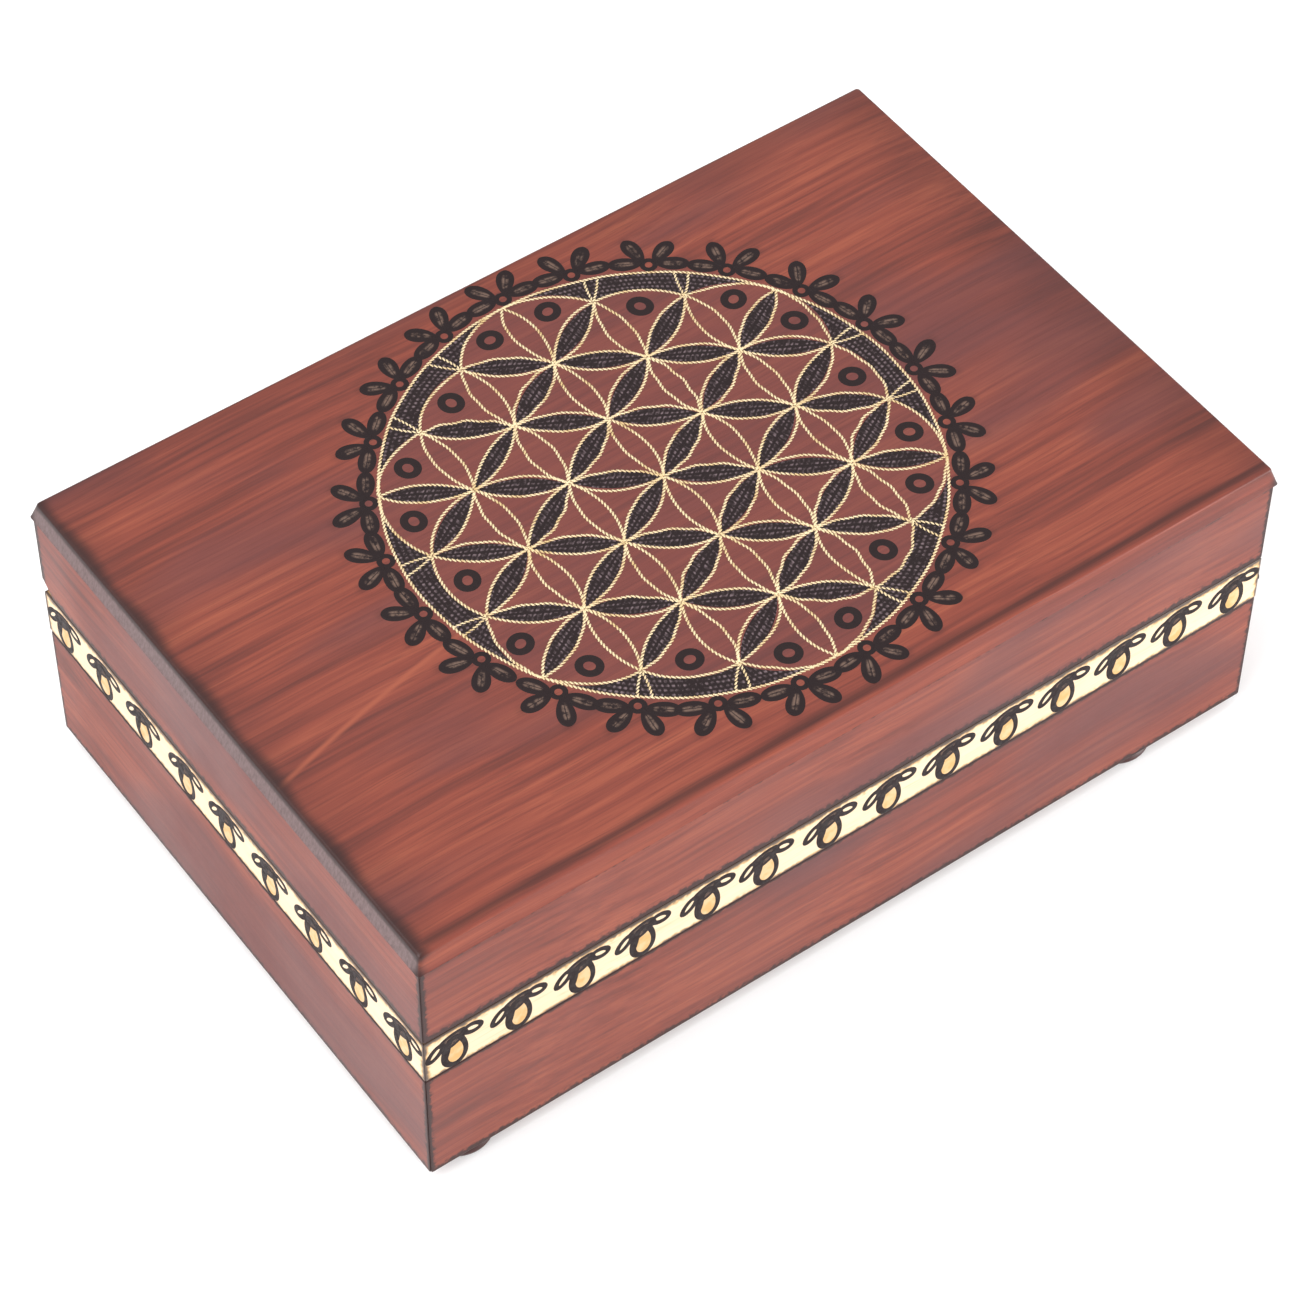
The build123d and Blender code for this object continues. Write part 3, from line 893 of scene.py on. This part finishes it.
def add_bump(graph, surface, height, depth, strength=1.0):
    """Relief from a height, at the given depth in metres."""
    bump = graph.node("ShaderNodeBump", {"Height": height, "Distance": depth,
                                         "Strength": strength})
    graph.feed(surface["Normal"], bump.outputs[0])


def add_gloss(graph, surface, place, smooth, dull):
    """Roughness that changes slowly between the smooth and the dull value."""
    gloss = place_group(graph, "handled_gloss",
                        {"Vector": place, "Smooth": smooth, "Dull": dull})
    graph.feed(surface["Roughness"], gloss["Roughness"])


def pale_line(g, line, upper):
    """Mask of the pale wavy streak left of the figure, y = -5 mm - 1.4 x squared, on the
    upper side of the board alone."""
    bow = g.math("MULTIPLY", g.math("MULTIPLY", line["X"], line["X"]), 1.4)
    off = g.math("ADD", g.math("ADD", line["Y"], 5 * MM), bow)
    off = g.math("DIVIDE", g.math("ABSOLUTE", off), 1.1 * MM)
    pale = g.math("MULTIPLY", g.spread(off, 0.0, 1.0, 0.85, 0.0),
                  g.spread(line["X"], -50 * MM, -62 * MM))
    return g.math("MULTIPLY", pale, upper)


def end_grain_and_painted_sheen(g, place, tint):
    """The tint, turned grey on the sides where the board's fibres end: end-grain pores, with a
    painted sheen in the grey that stands in for the pale reflection these sides catch.
    """
    facing = g.node("ShaderNodeTexCoord").outputs["Normal"]
    ends = g.math("ABSOLUTE", g.node("ShaderNodeSeparateXYZ", {0: facing}).outputs["X"])
    pores = g.noise(g.stretch(place, (1.0, 1500.0, 700.0)), 1.0, 3.0, 0.7)
    # Painted sheen: this grey is laid on every side that faces along X, in place of the light
    # those sides reflect.
    grey = g.mix(g.spread(pores, 0.2, 0.8), tone(84, 66, 66), tone(112, 92, 92))
    return g.mix(g.spread(ends, 0.6, 0.9), tint, grey)


def stained_wood(name, colours, turn, levels=None, board=False):
    """Red-brown stained linden under a satin varnish.  turn sets the grain's direction;
    levels are the two burnt lines of a wall; the board reads its own scorch marks."""
    made, g, surface = new_material(name, Coat_Weight=0.12 if board else 0.06,
                                    Coat_Roughness=0.3, Specular_IOR_Level=0.3)
    place = g.object_place()
    grain = place_group(g, "wood_grain", {
        "Vector": g.stretch(place, (1.0, 1.0, 1.0), turn), "Wave": 0.010 if board else 0.02})
    tint = g.mix(g.spread(grain["Streaks"], 0.05, 0.6), colours.stain_dark, colours.stain)
    tint = g.mix(g.spread(grain["Streaks"], 0.45, 1.0), tint, colours.stain_light)
    mauve = g.spread(grain["Patches"], 0.4, 1.0, 0.0, 0.7)
    if board:
        away = g.node("ShaderNodeVectorMath", {
            0: place, 1: (*figure_centre, lid_top)}, operation="DISTANCE").outputs["Value"]
        inside = g.spread(away, ring_outside - 3 * MM, ring_outside + 4 * MM, 0.55, 0.0)
        line = g.node("ShaderNodeSeparateXYZ", {0: place}).outputs
        upper = g.spread(line["Z"], lid_top - 3 * MM, lid_top - 1 * MM)
        mauve = g.math("MAXIMUM", mauve, g.math("MULTIPLY", inside, upper))
    tint = g.mix(mauve, tint, colours.mauve)
    fibre = g.spread(grain["Fibres"], 0.3, 0.5, 0.4, 0.0)
    tint = g.mix(fibre, tint, colours.stain_dark)
    if board:
        tint = g.mix(pale_line(g, line, upper), tint, colours.stain_light)
        tint = end_grain_and_painted_sheen(g, place, tint)
        burn = g.mark("scorch")
    else:
        burn = place_group(g, "burnt_edges", {
            "Vector": place, "Low Level": levels[0], "High Level": levels[1],
            "Corner Reach": 1.1 * MM, "Low Reach": 1.6 * MM, "High Reach": 0.8 * MM})["Mask"]
    tint = g.mix(g.spread(burn, 0.1, 0.9 if board else 0.6, 0.0, 0.94), tint, colours.scorch)
    g.feed(surface["Base Color"], tint)
    add_gloss(g, surface, place, 0.36, 0.54)
    add_bump(g, surface, grain["Height"], 0.06 * MM, 0.5)
    return made


def light_wood(name, colours, turn):
    """Pale varnished wood of the rim band, toasted along both burnt lines."""
    made, g, surface = new_material(name, Coat_Weight=0.25, Coat_Roughness=0.3)
    place = g.object_place()
    grain = place_group(g, "wood_grain", {"Vector": g.stretch(place, (1, 1, 1), turn)})
    pale = tuple(min(1.0, value * 1.12) for value in colours.light_wood)
    tint = g.mix(grain["Streaks"], colours.amber, pale)
    tint = g.mix(0.72, tint, colours.light_wood)
    tint = g.mix(g.spread(grain["Fibres"], 0.3, 0.48, 0.35, 0.0), tint, colours.amber)
    burn = place_group(g, "burnt_edges", {
        "Vector": place, "Low Level": band_low.z, "High Level": rim,
        "Corner Reach": 1.0 * MM, "Low Reach": 0.8 * MM, "High Reach": 1.2 * MM})["Mask"]
    tint = g.mix(g.spread(burn, 0.02, 0.5, 0.0, 0.8), tint, colours.amber)
    tint = g.mix(g.spread(burn, 0.3, 0.9, 0.0, 0.95), tint, colours.scorch)
    g.feed(surface["Base Color"], tint)
    add_gloss(g, surface, place, 0.34, 0.5)
    add_bump(g, surface, grain["Height"], 0.05 * MM, 0.4)
    return made


def plain_wood(name, colours, tint_of, darker, turn=0.0):
    """Plain sanded wood in one of the set tints: the bottom panel and the feet."""
    made, g, surface = new_material(name, Coat_Weight=0.15, Coat_Roughness=0.4)
    place = g.object_place()
    grain = place_group(g, "wood_grain", {"Vector": g.stretch(place, (1, 1, 1), turn)})
    deep = tuple(value * darker for value in tint_of)
    tint = g.mix(grain["Streaks"], deep, tint_of)
    tint = g.mix(g.spread(grain["Fibres"], 0.3, 0.5, 0.4, 0.0), tint, deep)
    g.feed(surface["Base Color"], tint)
    add_gloss(g, surface, place, 0.42, 0.6)
    add_bump(g, surface, grain["Height"], 0.05 * MM, 0.5)
    return made


def charred_wood(name, colours, lighter):
    """Burnt wood: black lines that pass to dark brown where the iron pressed less.  On scaled
    char the lighter tint is a pale grey instead, a painted highlight on the tops of the scales
    that stands for varnish catching the light."""
    made, g, surface = new_material(name, Specular_IOR_Level=0.18)
    place = g.object_place()
    scales = g.mark("scales")
    uneven = g.noise(place, 650.0, 4.0, 0.7)
    # Painted highlights on scaled char: the lighter tint goes on the scale tops, broken up by
    # noise; on drawn char the same mix is paler burn.
    pale_burn_and_painted_highlight = g.math("MULTIPLY", g.spread(scales, 0.3, 0.95), g.spread(uneven, 0.38, 0.6))
    tint = g.mix(pale_burn_and_painted_highlight, colours.char, lighter)
    g.feed(surface["Base Color"], tint)
    g.feed(surface["Roughness"], g.spread(uneven, 0.3, 0.7, 0.4, 0.7))
    add_bump(g, surface, g.noise(place, 2400.0, 3.0, 0.6), 0.08 * MM, 0.7)
    return made


def amber_wood(name, colours):
    """Lightly toasted wood inside the buds, palest in the middle."""
    made, g, surface = new_material(name, Coat_Weight=0.25, Coat_Roughness=0.3)
    place = g.object_place()
    cloud = g.noise(place, 420.0, 3.0)
    pale = g.mix(0.35, colours.amber, colours.light_wood)
    g.feed(surface["Base Color"], g.mix(g.spread(cloud, 0.35, 0.65), colours.amber, pale))
    add_gloss(g, surface, place, 0.34, 0.5)
    add_bump(g, surface, g.noise(place, 1800.0, 2.0), 0.03 * MM, 0.5)
    return made


def brass(name, tint_of, metal, smooth, dull, between=None):
    """Brass with a thin tarnish: browner and duller in soft clouds and fine specks.  A twisted
    wire gets painted shade where its strands dip, in the tint given as between."""
    made, g, surface = new_material(name, Metallic=metal)
    place = g.object_place()
    tarnish = g.spread(g.noise(place, 260.0, 4.0, 0.6), 0.42, 0.75)
    worn = tuple(value * share for value, share in zip(tint_of, (0.78, 0.68, 0.5)))
    tint = g.mix(tarnish, tint_of, worn)
    if between is not None:
        # Painted shade: the wire turns to the dark tint where the crest mark is low, in the
        # dips between its strands.
        tint = g.mix(g.spread(g.mark("crest"), 0.45, 0.95), between, tint)
    g.feed(surface["Base Color"], tint)
    add_gloss(g, surface, place, smooth, dull)
    add_bump(g, surface, g.noise(place, 3000.0, 2.0), 0.015 * MM, 0.4)
    return made


def finish_for(name, colours):
    """A named finish, made the first time a piece asks for it."""
    across = math.radians(90)
    base_levels, lid_levels = (wall_low.z, band_low.z), (lid_bottom, lid_high.z)
    makers = {
        "base_x": lambda: stained_wood(name, colours, 0.0, base_levels),
        "base_y": lambda: stained_wood(name, colours, across, base_levels),
        "lid_x": lambda: stained_wood(name, colours, 0.0, lid_levels),
        "lid_y": lambda: stained_wood(name, colours, across, lid_levels),
        "board": lambda: stained_wood(name, colours, 0.0, board=True),
        "band_x": lambda: light_wood(name, colours, 0.0),
        "band_y": lambda: light_wood(name, colours, across),
        "panel": lambda: plain_wood(name, colours, colours.panel, 0.72),
        "foot": lambda: plain_wood(name, colours, colours.foot, 0.6, across),
        # The pale grey of scaled char is a painted highlight for its scale tops; the brown of
        # drawn char is paler burn.
        "scaled_char": lambda: charred_wood(name, colours, tone(118, 102, 106)),
        "drawn_char": lambda: charred_wood(name, colours, tone(104, 84, 74)),
        "amber": lambda: amber_wood(name, colours),
        # The dark brown given to the wire is painted shade for the dips between its strands.
        "wire": lambda: brass(name, colours.wire, 0.2, 0.35, 0.5, tone(112, 78, 52)),
        "hinge": lambda: brass(name, colours.hinge, 1.0, 0.22, 0.42),
    }
    return bpy.data.materials.get(name) or makers[name]()


# ---- operators ----------------------------------------------------------------------
class BuildStep:
    """What every step shares: the settings of the scene and the undo behaviour."""

    bl_options = {"REGISTER", "UNDO"}

    @staticmethod
    def settings(context):
        """Sizes and colours, or an error when the add-on's settings are missing."""
        scene = context.scene
        if not hasattr(scene, "keepsake_sizes"):
            raise RuntimeError("the keepsake box settings are not registered")
        return scene.keepsake_sizes, scene.keepsake_colours

    @staticmethod
    def ring_radius(sizes):
        """Centre line of the wire ring."""
        return ring_outside - sizes.wire_width / 2


class KEEPSAKE_OT_walls(BuildStep, bpy.types.Operator):
    """Base walls, rim bands and lid walls with sanded arrises"""

    bl_idname = "keepsake.walls"
    bl_label = "Walls and bands"

    def execute(self, context):
        sizes, colours = self.settings(context)
        for side in SIDES:
            turn = "x" if side in ("front", "back") else "y"
            # the hinge pockets in the back pieces are cut crisp, so their edges are left
            shortest = 23 * MM if side == "back" else 2 * MM
            eased_copy(f"base_{side}", finish_for(f"base_{turn}", colours), "base",
                       sizes.arris, shortest)
            eased_copy(f"band_{side}", finish_for(f"band_{turn}", colours), "base",
                       sizes.arris * 0.6, shortest)
            eased_copy(f"lid_{side}", finish_for(f"lid_{turn}", colours), "lid",
                       sizes.arris * 0.8, shortest)
        return {"FINISHED"}


class KEEPSAKE_OT_board(BuildStep, bpy.types.Operator):
    """Lid board with its rounded arris and the scorch marks around the ornament"""

    bl_idname = "keepsake.board"
    bl_label = "Lid board"

    def execute(self, context):
        sizes, colours = self.settings(context)
        radius = self.ring_radius(sizes)
        random = np.random.default_rng(11)
        drops = border_drops(sizes.border_motifs, radius)[0]
        share = np.linspace(0.1, 0.95, 6)[None, :, None]
        marks = np.concatenate([
            (roots[:, None] * (1 - share) + tips[:, None] * share).reshape(-1, 2)
            for roots, tips in drops])
        drift = random.uniform(0, 6, 4)

        def scorch_of(points):
            """Burn marks: a halo beside the border drops, darkened arrises, and a dark
            line a little inside the front one."""
            scorch = np.zeros(len(points))
            reach = np.hypot(*(points[:, :2] - figure_centre).T)
            beside = np.flatnonzero((np.abs(reach - radius - 5 * MM) < 12 * MM)
                                    & (points[:, 2] > lid_top - 0.1 * MM))
            gaps = points[beside, None, :2] - marks[None]
            nearest = np.sqrt(np.square(gaps).sum(2).min(1))
            scorch[beside] = 0.42 * near(nearest, 2.3 * MM)
            waver = 1 + 0.25 * np.sin(points[:, 0] * 190 + drift[0]) \
                * np.sin(points[:, 1] * 260 + drift[1])
            left = points[:, 0] - board_low.x
            right = board_high.x - points[:, 0]
            front = points[:, 1] - board_low.y
            back = board_high.y - points[:, 1]
            on_top = points[:, 2] > lid_top - 1.3 * MM
            edges = [0.95 * near(left, 4.6 * MM * waver), 0.8 * near(right, 2.2 * MM * waver),
                     0.85 * near(back, 2.2 * MM * waver),
                     0.62 * near(front - 3.6 * MM, 1.7 * MM * waver),
                     0.36 * near(left, 16 * MM * waver), 0.42 * near(right, 22 * MM * waver),
                     0.36 * near(back, 14 * MM * waver)]
            top_mark = np.max(edges, 0) * on_top
            upright = near(np.minimum(left, right) + np.minimum(front, back), 2.6 * MM)
            return np.maximum(scorch, np.maximum(top_mark, 0.9 * upright))

        make_piece("lid_board_wood", [board_shell(sizes.board_arris, scorch_of)],
                   finish_for("board", colours), "lid", ("lid_board",),
                   sharp=math.radians(50))
        return {"FINISHED"}


class KEEPSAKE_OT_bottom(BuildStep, bpy.types.Operator):
    """Bottom panel and the four turned feet"""

    bl_idname = "keepsake.bottom"
    bl_label = "Bottom panel and feet"

    def execute(self, context):
        sizes, colours = self.settings(context)
        eased_copy("base_floor", finish_for("panel", colours), "base",
                   sizes.arris * 0.4, 2 * MM)
        for end in ("front", "back"):
            for side in ("left", "right"):
                node = f"foot_{end}_{side}"
                make_piece(node + "_turned", [foot_shell(node)], finish_for("foot", colours),
                           "base", (node,))
        return {"FINISHED"}


class KEEPSAKE_OT_hinges(BuildStep, bpy.types.Operator):
    """Brass for the hinge leaves, pins and screws, whose shapes stay as they are"""

    bl_idname = "keepsake.hinges"
    bl_label = "Hinges"

    def execute(self, context):
        colours = self.settings(context)[1]
        fittings = [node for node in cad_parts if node.startswith("hinge_")]
        if not fittings:
            raise RuntimeError("the frame has no hinge parts")
        for node in fittings:
            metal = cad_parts[node].data.materials
            metal.clear()
            metal.append(finish_for("hinge", colours))
        return {"FINISHED"}


class KEEPSAKE_OT_wires(BuildStep, bpy.types.Operator):
    """Twisted wire figure: interlaced circles in three directions, ring and stubs"""

    bl_idname = "keepsake.wires"
    bl_label = "Wire inlay"

    def execute(self, context):
        sizes, colours = self.settings(context)
        radius = self.ring_radius(sizes)
        pitch = radius / CIRCLE_RINGS
        random = np.random.default_rng(7)
        finish = finish_for("wire", colours)
        centres, petals = lattice(pitch, CIRCLE_RINGS)
        steps_per_length = 6 / sizes.wire_lay
        share = np.linspace(0, 1, int(round(pitch * math.pi / 3 * steps_per_length)))
        for name, (start, end) in petals.items():
            arcs = petal_arcs(start, end, centres)[0]
            lines = wandering_arcs(arcs, pitch, share, sizes.wire_wander, random)
            shells = twisted_wire(lines, sizes.wire_width, sizes.wire_lay,
                                  random.uniform(0, 6, len(lines)))
            make_piece(f"wires_{name}", shells, finish, "lid",
                       ("inlay_lattice",), sharp=math.radians(120))
        turn = np.linspace(0, 360, int(round(2 * math.pi * radius * steps_per_length)))
        wander = 0.6 * sizes.wire_wander * (np.sin(np.radians(turn * 9)) * 0.5
                                            + np.sin(np.radians(turn * 23)) * 0.5)
        ring = polar(radius - 0.5 * sizes.wire_wander + wander, turn)[None]
        shells = twisted_wire(ring, sizes.wire_width, sizes.wire_lay, np.zeros(1))
        stubs = stub_lines(pitch, radius)
        shells += twisted_wire(stubs, sizes.wire_width * 0.9, sizes.wire_lay,
                               random.uniform(0, 6, len(stubs)))
        make_piece("wire_ring", shells, finish, "lid", ("inlay_ring",),
                   sharp=math.radians(120))
        return {"FINISHED"}


class KEEPSAKE_OT_char(BuildStep, bpy.types.Operator):
    """Charred fills of the petals and crescents, and the small burnt rings"""

    bl_idname = "keepsake.char"
    bl_label = "Charred figure"

    def execute(self, context):
        sizes, colours = self.settings(context)
        radius = self.ring_radius(sizes)
        pitch = radius / CIRCLE_RINGS
        random = np.random.default_rng(3)
        centres, petals = lattice(pitch, CIRCLE_RINGS)
        fills = []
        for name in ("rising", "falling"):
            start, end = petals[name]
            whole = petal_arcs(start, end, centres)[1]
            fills.append(petal_fill_shell(start[whole], end[whole], CHAR_MARGIN,
                                          sizes.burn_height))
        make_piece("charred_petals", fills, finish_for("scaled_char", colours), "lid")
        make_piece("charred_crescents",
                   [crescent_shell(pitch, radius, CRESCENT_MARGIN, sizes.burn_height)],
                   finish_for("scaled_char", colours), "lid")
        rings = burnt_ring_lines(pitch, random)
        make_piece("burnt_rings",
                   [ribbon_shell(lid_face, rings, np.full(len(rings), 1.8 * MM),
                                 sizes.burn_height * 0.8, 0.35)],
                   finish_for("drawn_char", colours), "lid")
        return {"FINISHED"}


class KEEPSAKE_OT_border(BuildStep, bpy.types.Operator):
    """Burnt petals and leaves around the ring"""

    bl_idname = "keepsake.border"
    bl_label = "Burnt border"

    def execute(self, context):
        sizes, colours = self.settings(context)
        (petals, leaves), eyes = border_drops(sizes.border_motifs, self.ring_radius(sizes))
        eye_lines = oval_lines(eyes, 1.45 * MM, 1.45 * MM, 0, 16)
        shells = [
            drop_shell(lid_face, *petals, 4.1 * MM, sizes.burn_height, 0.8),
            drop_shell(lid_face, *leaves, 4.0 * MM, sizes.burn_height * 0.8, 0.6),
            ribbon_shell(lid_face, eye_lines, np.full(len(eyes), 1.2 * MM),
                         sizes.burn_height * 0.6),
        ]
        make_piece("burnt_border", shells, finish_for("drawn_char", colours), "lid")
        return {"FINISHED"}


class KEEPSAKE_OT_bands(BuildStep, bpy.types.Operator):
    """Burnt buds and leaves on the four rim bands"""

    bl_idname = "keepsake.bands"
    bl_label = "Band ornament"

    def execute(self, context):
        sizes, colours = self.settings(context)
        random = np.random.default_rng(23)
        for side in SIDES:
            dark, amber = band_shells(side, sizes, random)
            make_piece(f"band_marks_{side}", dark, finish_for("drawn_char", colours), "base")
            make_piece(f"band_buds_{side}", amber, finish_for("amber", colours), "base")
        return {"FINISHED"}


def soft_light(name, place, target, size, power):
    """A square soft panel of white light that faces its target."""
    lamp = bpy.data.lights.new(name, "AREA")
    lamp.shape = "SQUARE"
    lamp.size = size
    lamp.energy = power
    panel = bpy.data.objects.new(name, lamp)
    panel.location = place
    panel.rotation_euler = (Vector(target) - Vector(place)).to_track_quat("-Z", "Y").to_euler()
    bpy.context.scene.collection.objects.link(panel)


class KEEPSAKE_OT_stage(BuildStep, bpy.types.Operator):
    """Pale floor, soft studio light and the camera"""

    bl_idname = "keepsake.stage"
    bl_label = "Stage"

    def execute(self, context):
        self.settings(context)
        self.floor()
        self.lights(context.scene)
        self.camera(context.scene)
        context.scene.view_settings.view_transform = "Standard"
        return {"FINISHED"}

    @staticmethod
    def floor():
        """A wide pale floor that rises gently out of sight: the height is 0.04 times the
        square of the distance beyond 2.5 m.  It glows a little, so it stays white."""
        count = 81
        across = np.linspace(-4, 4, count)
        x, y = np.meshgrid(across, across, indexing="ij")
        lift = 0.04 * np.square(np.maximum(np.hypot(x, y) - 2.5, 0))
        points = np.stack([x, y, lift - 0.02 * MM], -1).reshape(-1, 3)
        mesh = bpy.data.meshes.new("floor")
        mesh.from_pydata(points.tolist(), [], grid_faces(count, count)[:, ::-1].tolist())
        made, g, surface = new_material("floor_paper", Roughness=0.9)
        cloud = g.noise(g.object_place(), 3.0, 2.0)
        g.feed(surface["Base Color"], g.mix(cloud, (0.72, 0.72, 0.72), (0.76, 0.76, 0.76)))
        g.feed(surface["Emission Color"], (1.0, 1.0, 1.0))
        g.feed(surface["Emission Strength"], 0.2)
        mesh.materials.append(made)
        piece = bpy.data.objects.new("floor", mesh)
        bpy.context.scene.collection.objects.link(piece)

    @staticmethod
    def lights(scene):
        """Pale surroundings, a broad panel on the left and one above, and a small weak one
        low on the right that lifts the front."""
        world = bpy.data.worlds.new("studio")
        world.use_nodes = True
        g = Graph(world.node_tree)
        air = world.node_tree.nodes["Background"].inputs
        g.feed(air["Color"], (1.0, 1.0, 1.0))
        g.feed(air["Strength"], 0.8)
        scene.world = world
        middle = (0.0, 0.0, 0.04)
        soft_light("left_panel", (-1.4, -0.3, 0.9), middle, 1.2, 20)
        soft_light("right_panel", (0.6, -0.55, 0.25), (0.05, 0.0, 0.04), 0.35, 5.5)
        soft_light("top_panel", (-0.6, 0.2, 1.7), middle, 1.4, 15)

    @staticmethod
    def camera(scene):
        """A long lens from the front left, well above the lid."""
        lens = bpy.data.cameras.new("camera")
        lens.lens, lens.sensor_width = 122.65, 36.0
        lens.clip_start, lens.clip_end = 0.01, 20.0
        eye = Vector((-0.3693, -0.5025, 0.7797))
        aim = Vector((-0.0091, -0.0105, 0.0413))
        holder = bpy.data.objects.new("camera", lens)
        level = (aim - eye).to_track_quat("-Z", "Y").to_matrix()
        roll = Matrix.Rotation(math.radians(0.46), 3, "Z")
        holder.matrix_world = Matrix.Translation(eye) @ (level @ roll).to_4x4()
        scene.collection.objects.link(holder)
        scene.camera = holder


STEPS = (KEEPSAKE_OT_walls, KEEPSAKE_OT_board, KEEPSAKE_OT_bottom, KEEPSAKE_OT_hinges,
         KEEPSAKE_OT_wires, KEEPSAKE_OT_char, KEEPSAKE_OT_border, KEEPSAKE_OT_bands,
         KEEPSAKE_OT_stage)


class KEEPSAKE_PT_panel(bpy.types.Panel):
    """Lists the steps and the settings in the sidebar."""

    bl_label = "Keepsake box"
    bl_idname = "KEEPSAKE_PT_panel"
    bl_space_type = "VIEW_3D"
    bl_region_type = "UI"
    bl_category = "Keepsake box"

    def draw(self, context):
        column = self.layout.column(align=True)
        for step in STEPS:
            column.operator(step.bl_idname)
        for settings in (context.scene.keepsake_sizes, context.scene.keepsake_colours):
            box = self.layout.box().column()
            for name in settings.__annotations__:
                box.prop(settings, name)


CLASSES = (BoxSizes, BoxColours, *STEPS, KEEPSAKE_PT_panel)


def register():
    """Makes the settings, the steps and the panel known to Blender."""
    for known in CLASSES:
        bpy.utils.register_class(known)
    bpy.types.Scene.keepsake_sizes = bpy.props.PointerProperty(type=BoxSizes)
    bpy.types.Scene.keepsake_colours = bpy.props.PointerProperty(type=BoxColours)


def unregister():
    """Takes everything back in the opposite order."""
    del bpy.types.Scene.keepsake_colours
    del bpy.types.Scene.keepsake_sizes
    for known in reversed(CLASSES):
        bpy.utils.unregister_class(known)


def main():
    """Builds the whole box and its stage."""
    register()
    for step in STEPS:
        group, name = step.bl_idname.split(".")
        getattr(getattr(bpy.ops, group), name)()


if __name__ == "__main__":
    main()
